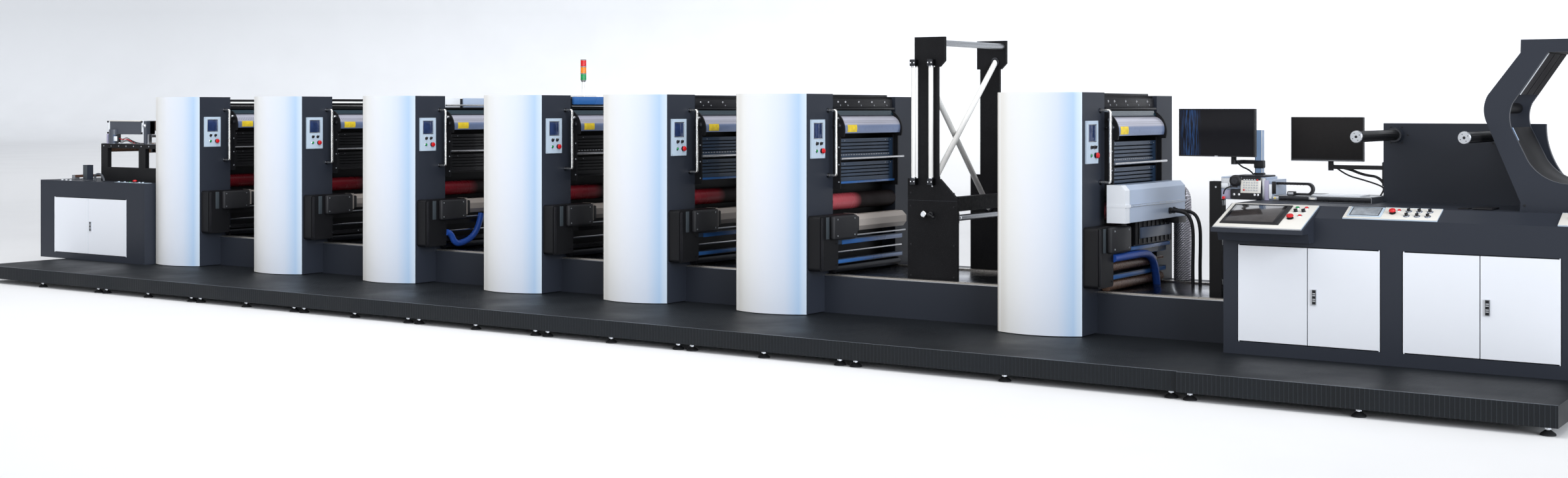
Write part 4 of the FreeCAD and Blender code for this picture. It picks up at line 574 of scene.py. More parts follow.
def slotted_paint(name, left, right):
    """Guard paint, near black on the left towers and navy on the right ones."""
    finish = Finish(name)
    x, _, _ = finish.axes()
    tone = finish.ramp(finish.span(x, 0.0, 1.0, -0.6, 0.2), [(0.0, left), (1.0, right)])
    grime = finish.span(finish.noise(1.5), 0.0, 0.4, 0.45, 0.75)
    finish.colour_from(finish.mix(grime, tone, left))
    finish.roughness_from(finish.span(finish.noise(3.0), 0.28, 0.40))
    finish.bump(finish.noise(700.0), 0.00005)
    return finish.set(coat=0.2, specular=0.3).material


def speckled(name, base):
    """Black hammered paint with small light specks."""
    finish = Finish(name)
    specks = finish.span(finish.noise(240.0, detail=1.0), 0.0, 1.0, 0.66, 0.72)
    clouds = finish.ramp(finish.noise(2.0), [(0.3, shade(base, 0.8)), (0.7, shade(base, 1.5))])
    finish.colour_from(finish.mix(specks, clouds, (0.05, 0.05, 0.052)))
    finish.roughness_from(finish.span(finish.noise(30.0), 0.44, 0.60))
    finish.bump(finish.noise(420.0), 0.0002)
    return finish.set(specular=0.12).material


def foil_duct(name, base, pitch):
    """Silver foil over wire rings, with painted shade darkening the grooves between them."""
    finish = Finish(name)
    x, _, z = finish.axes()
    along = finish.math("SUBTRACT", z, x)
    waves = finish.math("SINE", finish.math("MULTIPLY", along, 2 * math.pi / pitch))
    ridge = finish.span(waves, 0.0, 1.0, -1.0, 1.0)
    # Darker in the grooves: painted shade. The bump gives the real relief.
    finish.colour_from(finish.ramp(ridge, [(0.1, shade(base, 0.55)), (0.8, base)]))
    finish.roughness_from(finish.span(finish.noise(60.0), 0.25, 0.5))
    finish.bump(ridge, 0.004)
    return finish.set(metallic=0.8).material


FINISHES = {}


def make_finishes(colours, sizes):
    """Every finish of the press by its plain name."""
    FINISHES.update({
        "dark paint": painted("DarkPaint", colours.dark, 0.40, 0.48, spread=0.04, specular=0.25),
        "white paint": painted("WhitePaint", colours.white, 0.32, 0.36, coat=0.2, spread=0.01),
        # The covers' paint carries painted light: a painted highlight facing left, painted blue
        # reflection and shade facing right.
        "cover paint": cover_paint_with_painted_light("CoverPaint", colours.white),
        "black paint": painted("BlackPaint", colours.black, 0.40, 0.54, spread=0.2, specular=0.2),
        "blue guard": slotted_paint("GuardPaint", colours.black, colours.guard),
        "silver case": painted("SilverCase", colours.case, 0.30, 0.38, coat=0.2, spread=0.03),
        "beam": painted("InkBeamPaint", colours.beam, 0.34, 0.46, spread=0.10),
        "tread": tread_plate("TreadPlate", (0.0050, 0.0068, 0.0090), sizes.tread_pitch),
        "rail steel": steel("RailSteel", (0.46, 0.43, 0.39), 0.22, 0.40, (1, 9, 9)),
        "chrome": steel("Chrome", (0.80, 0.81, 0.83), 0.10, 0.18, (6, 1, 6), depth=0.00001),
        "handle steel": steel("HandleSteel", (0.86, 0.85, 0.82), 0.22, 0.28, (2, 2, 1), depth=0.000005),
        "satin steel": steel("SatinSteel", (0.58, 0.60, 0.63), 0.28, 0.42, (8, 1, 8)),
        "white tube": painted("WhiteTube", (0.80, 0.79, 0.76), 0.20, 0.30, coat=0.4, spread=0.03),
        "perforated": dotted_guard("DottedGuard", (0.50, 0.50, 0.58), (0.20, 0.26, 0.42), 0.024),
        "blanket": blanket("Blanket", colours.blanket),
        "rubber": moulded("Rubber", (0.008, 0.008, 0.009), 0.6, 0.8),
        "black plastic": moulded("BlackPlastic", (0.008, 0.008, 0.010), 0.36, 0.5),
        "screen glass": screen_glass("ScreenGlass", (0.005, 0.005, 0.006)),
        # 5.49 m is where the painted window reflection lies on the left monitor.
        "monitor glass": monitor_glass("MonitorGlass", (0.006, 0.006, 0.008), 5.49),
        "panel face": painted("PanelFace", (0.46, 0.55, 0.64), 0.30, 0.42, spread=0.03),
        "hose blue": moulded("BlueHose", colours.hose, 0.3, 0.45, grain=200.0),
        "cable": moulded("BlackCable", (0.008, 0.008, 0.010), 0.42, 0.6),
        "duct": foil_duct("FoilDuct", (0.66, 0.65, 0.70), 0.022),
        "red": moulded("RedButton", (0.55, 0.012, 0.016), 0.22, 0.34),
        "green": moulded("GreenButton", (0.010, 0.24, 0.070), 0.22, 0.34),
        "amber": moulded("AmberLens", (0.75, 0.20, 0.010), 0.18, 0.3),
        "yellow": moulded("YellowPatch", (0.80, 0.58, 0.030), 0.35, 0.5),
        "brown roller": moulded("BrownRoller", (0.13, 0.075, 0.050), 0.22, 0.38),
        "dial grey": screen_glass("PanelDisplay", (0.20, 0.22, 0.24)),
        "speckled black": speckled("SpeckledBlack", colours.black),
        "tower display": screen_glass("TowerDisplay", (0.016, 0.028, 0.075)),
        "desk display": screen_glass("DeskDisplay", (0.030, 0.026, 0.025), coat=0.8),
        "matt screen": moulded("MattScreen", (0.008, 0.007, 0.007), 0.5, 0.62, specular=0.2),
        "teal cover": painted("TealCover", (0.006, 0.024, 0.036), 0.14, 0.26, coat=0.5),
        "lip blue": painted("BrightBlue", (0.030, 0.120, 0.340), 0.24, 0.38, coat=0.3),
        "blue case": painted("BlueCase", (0.060, 0.090, 0.150), 0.3, 0.44, coat=0.2),
        "pale case": painted("PaleCase", (0.70, 0.72, 0.75), 0.28, 0.42, coat=0.2, spread=0.03),
        "lilac case": painted("LilacCase", (0.36, 0.34, 0.46), 0.3, 0.45, coat=0.2),
        "panel cream": painted("PanelCream", (0.68, 0.66, 0.61), 0.3, 0.44, spread=0.03),
        "key grey": moulded("KeyGrey", (0.42, 0.43, 0.44), 0.4, 0.55),
        "cast cover": painted(
            "CastCover", (0.018, 0.018, 0.020), 0.45, 0.65, grain=260.0, depth=0.0005, specular=0.3),
        "slate panel": painted("SlatePanel", (0.045, 0.055, 0.062), 0.34, 0.5),
        "slate box": painted("SlateBox", (0.055, 0.062, 0.080), 0.3, 0.42, coat=0.2),
        "black steel": steel("BlackSteel", (0.050, 0.052, 0.058), 0.24, 0.4, (1, 6, 6)),
        "deck steel": steel("DeckSteel", (0.13, 0.14, 0.17), 0.14, 0.30, (1, 5, 5)),
        "worn edge": steel("WornEdge", (0.22, 0.24, 0.27), 0.3, 0.5, (1, 9, 9)),
        "brown steel": painted("BrownSteel", (0.085, 0.045, 0.032), 0.3, 0.46),
        "steel blue": painted("SteelBlue", (0.20, 0.30, 0.46), 0.2, 0.34, coat=0.3),
        "guard film": painted("GuardWindow", (0.010, 0.009, 0.011), 0.5, 0.7, spread=0.5, specular=0.05),
        "inner black": painted("InnerBlack", colours.black, 0.5, 0.65, specular=0.08),
        "case hose": moulded("GreyHose", (0.055, 0.060, 0.070), 0.4, 0.55),
    })


CAD_FINISHES = {
    "bed": "dark paint", "bed_rails": "rail steel", "cable_chain": "black plastic",
    "console_cabinet": "dark paint", "console_control_panels": "panel face",
    "console_panel_screens": "black plastic", "cross_rods": "chrome",
    "drive_housings": "dark paint", "footboard": "tread", "footboard_feet": "rubber",
    # front_covers get the white paint with painted light by facing.
    "front_covers": "cover paint", "gear_boxes": "black paint", "grab_handles": "handle steel",
    "guard_end_plates": "black paint", "infeed_cabinet": "dark paint",
    "infeed_frame": "black paint", "infeed_rollers": "brown roller",
    "infeed_upright": "dark paint", "ink_beams": "beam", "ink_trains": "black paint",
    "inspection_head": "silver case", "inspection_keypad": "black plastic",
    "inspection_post": "black paint", "lamp_cables": "cable", "lamp_duct": "duct",
    "lower_bars": "blue guard", "monitor_arms": "black plastic", "monitor_left": "black plastic",
    "monitor_mast": "steel blue", "monitor_right": "black plastic", "operator_desk": "dark paint",
    "operator_housings": "dark paint", "overhead_rail": "satin steel",
    "printing_cylinders": "blanket", "rewind_backboard": "dark paint",
    "rewind_shaft_left": "black paint", "rewind_shaft_right": "black paint",
    "roll_guard_plates": "dark paint", "roll_guard_walls": "inner black",
    "roller_guards": "perforated", "signal_lamp": "white tube", "slotted_guards": "blue guard",
    "splice_bar": "satin steel", "top_boxes": "black paint", "tower_control_panels": "panel face",
    "tower_hoses": "hose blue", "turning_frame": "speckled black",
    "turning_frame_bars": "white tube", "turning_frame_rollers": "satin steel",
    "lamp_cassette": "black paint",
    "uv_lamp_box": "silver case", "web_guide_box": "slate box", "web_table": "satin steel",
}


class PRESS_OT_finishes(bpy.types.Operator):
    """Gives each part of the frame its real finish"""

    bl_idname = "press.finishes"
    bl_label = "Finishes"

    def execute(self, context):
        make_finishes(context.scene.press_colours, context.scene.press_sizes)
        for name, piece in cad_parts.items():
            finish = "white paint" if "_door_" in name else CAD_FINISHES[name]
            piece.data.materials.clear()
            piece.data.materials.append(FINISHES[finish])
        return {"FINISHED"}


# ---------------------------------------------------------------- towers
RIGHT = Vector((1, 0, 0))
NEAR = Vector((0, -1, 0))
UP = Vector((0, 0, 1))


class PRESS_OT_tower_controls(bpy.types.Operator):
    """Fits the screen, switches and buttons on the side of each printing tower"""

    bl_idname = "press.tower_controls"
    bl_label = "Tower controls"

    def execute(self, context):
        kit = Kit("TowerControls")
        size = context.scene.press_sizes.button * 1000
        for right in TOWERS:
            face = right + 12
            kit["tower display"].block((right + 8.5, 99, 1682.5), (right + 10.5, 226, 1806), 0.8)
            kit["satin steel"].ring((face, 92, 1676), (face + 1.6, 233, 1813), 6, Y, Z, 0.5)
            for y in (135, 198):
                kit.knob((face, y, 1636), RIGHT, size)
            kit.button((face, 134, 1573), RIGHT, "green", size * 0.9)
            kit.stop((face, 214, 1573), RIGHT, size * 1.75)
            for y in (63, 262):
                for z in (1519, 1831):
                    kit.bolt((face, y, z), RIGHT, 2.6, "satin steel")
            kit["black plastic"].block((right, 1, 547), (right + 0.8, 279, 550))
        kit.make()
        return {"FINISHED"}


class PRESS_OT_grab_handles(bpy.types.Operator):
    """Bends the bright grab handles and seats them in their roses"""

    bl_idname = "press.grab_handles"
    bl_label = "Grab handles"

    def execute(self, context):
        bars = Shape()
        roses = Shape()
        for right in TOWERS:
            legs = (1360, 1918)
            out = right + 85
            bars.tube(smooth_path([
                (right, 330, legs[0]), (right + 48, 330, legs[0]), (out, 330, legs[0]),
                (out, 330, legs[0] + 38), (out, 330, legs[1] - 38), (out, 330, legs[1]),
                (right + 48, 330, legs[1]), (right, 330, legs[1])]), 12, 20)
            for z in legs:
                roses.turned((right, 330, z), RIGHT, [(0, 20), (4, 20), (7, 16), (14, 14)], 28)
        handles = bars.finish("GrabHandles", FINISHES["handle steel"])
        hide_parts("grab_handles")
        # Real roses, made black steel as painted shade where the handle ends meet the side plate.
        roses.finish("HandleRoses", FINISHES["black steel"])
        return {"FINISHED"}


class PRESS_OT_tower_guards(bpy.types.Operator):
    """Adds shaft ends, lips, covers and plain patches to the guards of each tower"""

    bl_idname = "press.tower_guards"
    bl_label = "Tower guards"

    def execute(self, context):
        kit = Kit("TowerGuards")
        for number, right in enumerate(TOWERS, start=1):
            for x, z, radius, reach in ((52, 1846, 17, 26), (66, 1784, 20, 16), (30, 1784, 9, 30)):
                end = (right + x, 410, z)
                kit["chrome" if x == 52 else "black steel"].turned(end, NEAR, [
                    (0, radius), (reach * 0.7, radius), (reach, radius * 0.72),
                    (reach + 3, radius * 0.3)], 28)
                kit["black plastic"].turned(end, NEAR, [(0, radius * 1.35), (4, radius * 1.3)], 28)
            for z in (1300, 1450, 1600):
                kit.bolt((right + 62, 410, z), NEAR, 5, "satin steel")
            outer, inner = [], []
            for z in range(1730, 1794, 7):
                reach = math.sqrt(ARC_RADIUS ** 2 - (z - ARC_Z) ** 2) + ARC_X
                outer.append((right + reach + 1.3, z))
                inner.append((right + reach - 2, z))
            kit["yellow"].plate(outer + inner[::-1], 490, 640)
            kit["teal cover"].plate(
                [(right - 30, 1872), (right + 24, 1872), (right + 30, 1880), (right + 6, 1916),
                 (right - 30, 1916)], 424, 1374)
            if number >= 4:
                finish = "lip blue" if number >= 5 else "blue guard"
                kit[finish].block((right + 43.5, 432, 1283), (right + 46, 1368, 1302), 0.8)
                # Rows of small satin steel marks: painted highlights of the lit slots.
                for y in range(486, 1310, 42):
                    kit["satin steel"].block((right + 26, y, 1527), (right + 28, y + 26, 1534), 0.7)
            for y in (470, 560, 1240, 1330):
                for z in (1655, 1452):
                    kit["satin steel"].turned((right + 26, y, z), RIGHT, [(0, 5), (2.5, 4)], 12)
            for y in (414, 1368):
                kit["black plastic"].block((right + 18, y + 2, 1276), (right + 34, y + 9, 1700), 2)
        kit.make()
        return {"FINISHED"}


class PRESS_OT_tower_tops(bpy.types.Operator):
    """Fits the boxes, ducts and rails on top of the towers"""

    bl_idname = "press.tower_tops"
    bl_label = "Tower tops"

    def execute(self, context):
        kit = Kit("TowerTops")
        for number, right in enumerate(TOWERS, start=1):
            edge = right - 40
            if number <= 2:
                kit["white tube"].block((edge, 420, 1990), (edge + 30, 1450, 2008), 3)
                kit["handle steel"].block((edge, 420, 1958), (edge + 14, 1450, 1966), 1)
            if number == 3:
                kit["pale case"].block((edge, 424, 1944), (edge + 24, 640, 2040), 5)
                kit["black plastic"].block((edge, 642, 1944), (edge + 8, 690, 2034), 2)
                kit["silver case"].block((edge, 692, 1944), (edge + 20, 1440, 2040), 5)
                kit["handle steel"].turned((edge + 40, 424, 1968), -NEAR, [(0, 7), (1020, 7)], 14)
            if number == 4:
                kit["lip blue"].block((edge, 470, 1972), (edge + 36, 1440, 2048), 8)
                kit["satin steel"].block((edge, 440, 1950), (edge + 30, 1450, 1960), 2)
            if number >= 5:
                kit["black plastic"].block((edge - 200, 470, 2034), (edge - 8, 1400, 2056), 5)
                kit["black plastic"].block((edge, 424, 1940), (edge + 22, 1440, 2016), 4)
                kit["black plastic"].block((edge, 424, 1925), (edge + 46, 1440, 1941), 3)
                for y in (520, 640, 860, 1080, 1300):
                    kit.bolt((edge + 22, y, 1992), RIGHT, 6.5)
                    kit.bolt((edge + 22, y + 40, 1962), RIGHT, 4.5, "satin steel")
        kit.make()
        return {"FINISHED"}


class PRESS_OT_drive_covers(bpy.types.Operator):
    """Fits the cast covers, rollers and coloured bars low on the side of each tower"""

    bl_idname = "press.drive_covers"
    bl_label = "Drive covers"

    def execute(self, context):
        kit = Kit("DriveCovers")
        for number, right in enumerate(TOWERS, start=1):
            wide = number >= 6
            kit["cast cover"].block(
                (right + 118, 175 if wide else 195, 818), (right + 168, 556, 1019), 20, segments=3)
            kit["cast cover"].block((right + 100, 575, 870), (right + 130, 640, 1000), 12)
            kit["slate panel"].block((right + 119, 118, 826), (right + 124, 166, 1012), 5)
            kit["black plastic"].block((right + 119, 34, 574), (right + 132, 60, 1010), 6)
            for y in (60, 280):
                for z in (600, 780):
                    kit.bolt((right + 120, y, z), RIGHT, 5, "black plastic")
            for y in (230, 500):
                for z in (850, 990):
                    kit.bolt((right + 167, y, z), RIGHT, 5, "satin steel")
            roller = "brown roller" if number == 7 else "black steel"
            kit[roller].turned((right + 46, 312, 553), -NEAR, [
                (0, 14), (20, 14), (22, 40), (1090, 40), (1092, 14), (1146, 14)], 32)
            kit["black steel"].block((right + 6, 1100, 506), (right + 34, 1130, 596), 3)
            kit["satin steel"].turned(
                (right + 104, 594, 836), -NEAR, [(0, 7), (866, 7)], 14)
            if number == 7:
                kit["brown roller"].turned(
                    (right + 46, 312, 704), -NEAR,
                    [(0, 14), (16, 14), (18, 44), (820, 44), (822, 14), (1146, 14)], 32)
                kit["beam"].turned(
                    (right + 46, 1150, 704), -NEAR, [(0, 30), (4, 36), (110, 36), (114, 30)], 28)
            if number >= 4:
                finish = "lip blue" if number >= 5 else "blue guard"
                outer = right + 84 if number < 7 else right + 79.9
                kit[finish].block((right + 78, 430, 764), (outer, 1440, 800), 2)
                kit[finish].block((right + 78, 320, 604), (right + 86, 1440, 634), 3)
            for y in (340, 700, 1060, 1400):
                kit.bolt((right + 80, y, 620), RIGHT, 5, "satin steel")
        kit.make()
        return {"FINISHED"}


class PRESS_OT_bed_decks(bpy.types.Operator):
    """Lays the polished decks and rail inserts along the bed"""

    bl_idname = "press.bed_decks"
    bl_label = "Bed decks"

    def execute(self, context):
        kit = Kit("BedDecks")
        ends = [right - TOWER_WIDTH for right in TOWERS[1:]] + [CONSOLE_START]
        for start, end in zip(TOWERS, ends):
            kit["deck steel"].block((start + 2, 366, 500), (end - 2, 1374, 505), 1.5)
            kit["black steel"].block((start + 2, 318, 518), (end - 2, 336, 518.8))
            kit["satin steel"].block((start + 2, 281, 500), (end - 2, 290, 506), 1.5)
            for x in range(start + 90, end - 60, 180):
                for y in (304, 350, 1390, 1436):
                    kit["black steel"].turned((x, y, 518), UP, [(0, 6.5), (1.4, 6.5), (1.6, 3)], 14)
        kit.make()
        return {"FINISHED"}


# ---------------------------------------------------------------- turning frame
class PRESS_OT_turning_frame(bpy.types.Operator):
    """Adds the dial, clamps, bearing caps and seams of the web turning frame"""

    bl_idname = "press.turning_frame"
    bl_label = "Turning frame"

    def execute(self, context):
        kit = Kit("TurningFrame")
        left = 11468
        dial = (left + 170, 370, 1056)
        kit["chrome"].turned(dial, NEAR, [(0, 26), (10, 26), (14, 22), (15, 8)], 36)
        kit["white paint"].turned((dial[0], dial[1] - 14.5, dial[2]), NEAR, [(0, 18), (1.4, 17)], 32)
        hub, grip = dial[0] + 58, (dial[0] + 98, 338, 1040)
        kit["black plastic"].turned(
            (hub, 400, 1056), NEAR, [(0, 22), (20, 22), (24, 14), (52, 14)], 24)
        kit["black plastic"].tube(
            smooth_path([(hub, 352, 1056), (dial[0] + 70, 340, 1058), grip]), 8, 12)
        kit["black plastic"].turned(grip, (1, 0, -0.5), [(0, 8), (6, 13), (18, 13), (24, 7)], 18)
        kit["black steel"].block((left + 1, 398.6, 1167), (left + 469, 400, 1170))
        for x in (30, 440):
            for z in (540, 800, 1120, 1230):
                kit.bolt((left + x, 400, z), NEAR, 6, "black plastic")
        kit.bolt((left + 235, 400, 1290), NEAR, 5)
        for number in range(2):
            x = left + 75 + 165 * number
            for low in (1298, 2288):
                kit["black steel"].block((x - 27, 344, low), (x + 27, 400, low + 56), 5)
                for side in (-16, 16):
                    kit.bolt((x + side, 344, low + 28), NEAR, 4)
            kit["chrome"].turned((x, 367.5, 1354), UP, [(0, 24), (6, 24), (9, 21)], 28)
            kit["chrome"].turned((x, 367.5, 2279), UP, [(0, 21), (3, 24), (9, 24)], 28)
        for x, near, far in ((248, 1356, 2342), (185, 2171, 1055)):
            kit["black steel"].turned((left + x, 432, near), -NEAR, [(0, 40), (10, 40), (14, 32)], 28)
            kit["black steel"].turned((left + x, 1500, far), NEAR, [(0, 40), (10, 40), (14, 32)], 28)
        for y, reach in ((432, 468), (1488, 500)):
            kit["black steel"].block((left + 400, y, 985), (left + reach, y + 12, 1075), 4)
        kit["chrome"].turned((left + 444, 444, 1030), -NEAR, [
            (0, 12), (14, 12), (16, 27.5), (34, 27.5), (36, 26.4)], 28)
        kit["black steel"].tube(smooth_path([
            (left + 420, 1486, 1330), (left + 350, 1470, 1560), (left + 300, 1470, 1720)]), 9, 12)
        kit.make()
        return {"FINISHED"}


# ---------------------------------------------------------------- lamp unit and hoses
class PRESS_OT_lamp_unit(bpy.types.Operator):
    """Finishes the lamp box of the last tower and what hangs under it"""

    bl_idname = "press.lamp_unit"
    bl_label = "Lamp unit"

    def execute(self, context):
        kit = Kit("LampUnit")
        left = TOWERS[-1] + 76
        right = left + 150
        kit["pale case"].plate([
            (left - 1, 1049), (right + 2, 1049), (right + 2, 1302), (right - 34, 1342),
            (left - 1, 1342)], 286, 372)
        kit["pale case"].plate(
            [(left - 1, 1170), (right + 12, 1170), (right + 12, 1192), (left - 1, 1192)], 284, 374)
        kit["black plastic"].block((left + 20, 372, 1044), (right + 0.8, 377, 1300))
        kit["satin steel"].block((right, 378, 1171), (right + 10, 1506, 1174), 1)
        kit["satin steel"].block((right, 378, 1186), (right + 10, 1506, 1189), 1)
        for y in range(440, 1480, 130):
            kit["satin steel"].turned((right + 9, y, 1180), RIGHT, [(0, 5), (2.4, 4)], 12)
        kit["black plastic"].turned(
            (left + 75, 1508, 1237), -NEAR, [(0, 76), (20, 76), (22, 72), (34, 72)], 40)
        low = TOWERS[-1] + 120
        kit["black plastic"].block((low, 706, 852), (low + 14, 1452, 1044), 4)
        for y in range(760, 1440, 88):
            kit["black steel"].block((low + 14, y, 858), (low + 22, y + 12, 1038), 3)
        kit["blue case"].block((low + 14, 780, 900), (low + 30, 1400, 990), 8)
        kit["lip blue"].block((low - 36, 640, 812), (low + 4, 1440, 842), 5)
        kit["black plastic"].block((left + 10, 1300, 1000), (right + 30, 1470, 1052), 6)
        for number in range(2):
            y = 1180 + 80 * number
            kit["black plastic"].turned(
                (right, y, 1108), RIGHT, [(0, 26), (14, 26), (16, 20), (34, 18)], 24)
        kit.make()
        return {"FINISHED"}


class PRESS_OT_hoses(bpy.types.Operator):
    """Draws the hoses, cables and the ribbed duct along their routes"""

    bl_idname = "press.hoses"
    bl_label = "Hoses and duct"

    def execute(self, context):
        hoses = Shape()
        x = TOWERS[2] + 114.3
        hoses.tube(smooth_path([
            (x, 310, 690), (x, 340, 690), (x, 388, 654), (x, 412, 606), (x, 460, 570),
            (x, 520, 570), (x, 665, 609), (x, 771, 715), (x, 810, 858)]), 31, 24)
        x = TOWERS[6] + 114.3
        hoses.tube(smooth_path([
            (x, 310, 775), (x, 700, 775), (x, 940, 775), (x, 1062, 742), (x, 1152, 652),
            (x, 1185, 500)]), 31, 24)
        made = hoses.finish("TowerHoses", FINISHES["hose blue"])
        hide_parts("tower_hoses")
        cables = Shape()
        start = TOWERS[6] + 226
        for number in range(2):
            y = 1180 + 80 * number
            run = 30 * (number + 1)
            cables.tube(smooth_path([
                (start, y, 1108), (start + run, y, 1108), (start + run + 120, y, 1096),
                (start + run + 168, y, 1000), (start + run + 170, y, 820),
                (start + run + 162, y + 8, 640), (start + run + 168, y, 501)]), 14, 16)
        made = cables.finish("LampCables", FINISHES["cable"])
        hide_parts("lamp_cables")
        duct = Shape()
        x = TOWERS[6] + 151
        route = evenly(smooth_path([
            (x, 1512, 1237), (x, 1540, 1237), (x, 1595, 1222), (x, 1635, 1182),
            (x, 1650, 1127), (x, 1650, 800), (x, 1650, 501)]), 7.5)
        duct.tube(route, [70 if step % 2 else 76 for step in range(len(route))], 32)
        made = duct.finish("LampDuct", FINISHES["duct"])
        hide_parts("lamp_duct")
        return {"FINISHED"}


# ---------------------------------------------------------------- footboard
class PRESS_OT_footboard(bpy.types.Operator):
    """Adds the worn front edge, seams and levelling feet of the footboard"""

    bl_idname = "press.footboard"
    bl_label = "Footboard"

    def execute(self, context):
        kit = Kit("Footboard")
        sections = [(498, 2130, 1240)]
        for number in range(6):
            sections.append((2628 + 1540 * number, 1540, 1240))
        sections += [(11868, 2630, 1240), (14498, 2360, 1265)]
        feet = Shape()
        for x, span, front in sections:
            end = x + span - 0.6
            kit["worn edge"].block((x + 1, -front, 190), (end - 1, -front + 9, 192), 0.8)
            if end < 16800:
                kit["black steel"].block((end - 1.5, -front - 0.4, 56), (end + 1, -front + 1, 189))
            for place in (x + 70, x + span / 2, x + span - 70):
                centre = (place, 70 - front, 0)
                feet.turned(centre, UP, [(0, 46), (8, 46), (14, 41), (26, 25), (32, 17)], 28)
                kit["chrome"].turned((centre[0], centre[1], 31), UP, [(0, 12), (26, 12)], 18)
                kit["satin steel"].turned((centre[0], centre[1], 36), UP, [(0, 20), (12, 20)], 6)
        made = feet.finish("FootPads", FINISHES["rubber"])
        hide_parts("footboard_feet")
        kit.make()
        return {"FINISHED"}


# ---------------------------------------------------------------- console
DESK = ((-450, 1098), (-30, 1250))
CONSOLE_SLOPE = ((-200, 1175), (-30, 1250))


def slope_place(slope):
    """Places by station, distance up a slope and height above it."""
    (front_y, front_z), (back_y, back_z) = slope
    along = Vector((0, back_y - front_y, back_z - front_z)).normalized()
    out = Vector((0, -along.z, along.y))

    def place(x, up, lift):
        return Vector((x, front_y, front_z)) + along * up + out * lift

    return place, out


class PRESS_OT_console_controls(bpy.types.Operator):
    """Fits the screens, buttons and switches of the console"""

    bl_idname = "press.console_controls"
    bl_label = "Console controls"

    def execute(self, context):
        kit = Kit("ConsoleControls")
        size = context.scene.press_sizes.button * 1000
        desk, out = slope_place(DESK)
        kit["panel cream"].block((14441, 10, 7.4), (15065, 434, 9.0), 0.8, desk)
        kit["satin steel"].block((14441, 2, 0), (15065, 9, 9.5), 1.5, desk)
        kit["black plastic"].block((14470, 64, 9), (14873, 400, 16), 3, desk)
        kit["screen glass"].block((14484, 80, 15.5), (14859, 386, 16.8), 0.8, desk)
        kit["desk display"].block((14500, 96, 16.6), (14843, 370, 17.2), 0.3, desk)
        for x, up, finish in ((14931, 375, "green"), (14996, 375, "red"), (14990, 235, "red")):
            kit.button(desk(x, up, 8.5), out, finish, size * 0.95)
        for x, up in ((14938, 310), (14992, 312)):
            kit.knob(desk(x, up, 8.5), out, size * 1.05)
        kit.stop(desk(14936, 190, 8.5), out, size * 1.9)
        side, out = slope_place(CONSOLE_SLOPE)
        kit["panel cream"].block((15274, 7, 7.2), (15902, 178, 8.6), 0.8, side)
        kit["panel face"].block((15297, 26, 8.6), (15527, 166, 15), 2, side)
        kit["dial grey"].block((15318, 40, 14.8), (15506, 152, 16), 0.6, side)
        kit["black plastic"].ring((15312, 36, 15), (15512, 156, 16.4), 5, X, Y, 0.4, side)
        kit.stop(side(15590, 96, 8.5), out, size * 1.75)
        kit.button(side(15626, 132, 8.5), out, "red", size * 0.85)
        for column in (15690, 15760, 15830):
            for up in (62, 130):
                kit["blue case"].turned(
                    side(column, up, 8.4), out, [(0, size * 1.65), (1.4, size * 1.6)], 24)
                kit.knob(side(column, up, 9), out, size * 0.9)
        kit["panel cream"].block((16654, 7, 7.2), (16802, 178, 8.6), 0.8, side)
        kit.knob(side(16728, 94, 8.5), out, size)
        kit.make()
        return {"FINISHED"}


class PRESS_OT_cabinet_doors(bpy.types.Operator):
    """Gives the cabinet doors their louvred pulls"""

    bl_idname = "press.cabinet_doors"
    bl_label = "Cabinet doors"

    def execute(self, context):
        y = DOOR_FRONT
        for name, x, middle in (
                ("infeed_door_right", 966.5, 582), ("console_door_2", 15066, 625),
                ("console_door_4", 16209.5, 625)):
            kit = Kit("Pull_" + name, name)
            kit["satin steel"].ring(
                (x - 1, y - 1.2, middle - 53.5), (x + 31, y + 8, middle + 53.5), 3, X, Z)
            kit["black plastic"].block(
                (x + 2, y - 0.8, middle - 50), (x + 28, y - 0.2, middle + 50))
            for step in range(7):
                z = middle - 44 + step * 13
                finish = "satin steel" if step % 3 else "black plastic"
                kit[finish].block((x + 5, y - 3, z), (x + 25, y - 0.6, z + 8), 1)
            kit.make()
        return {"FINISHED"}


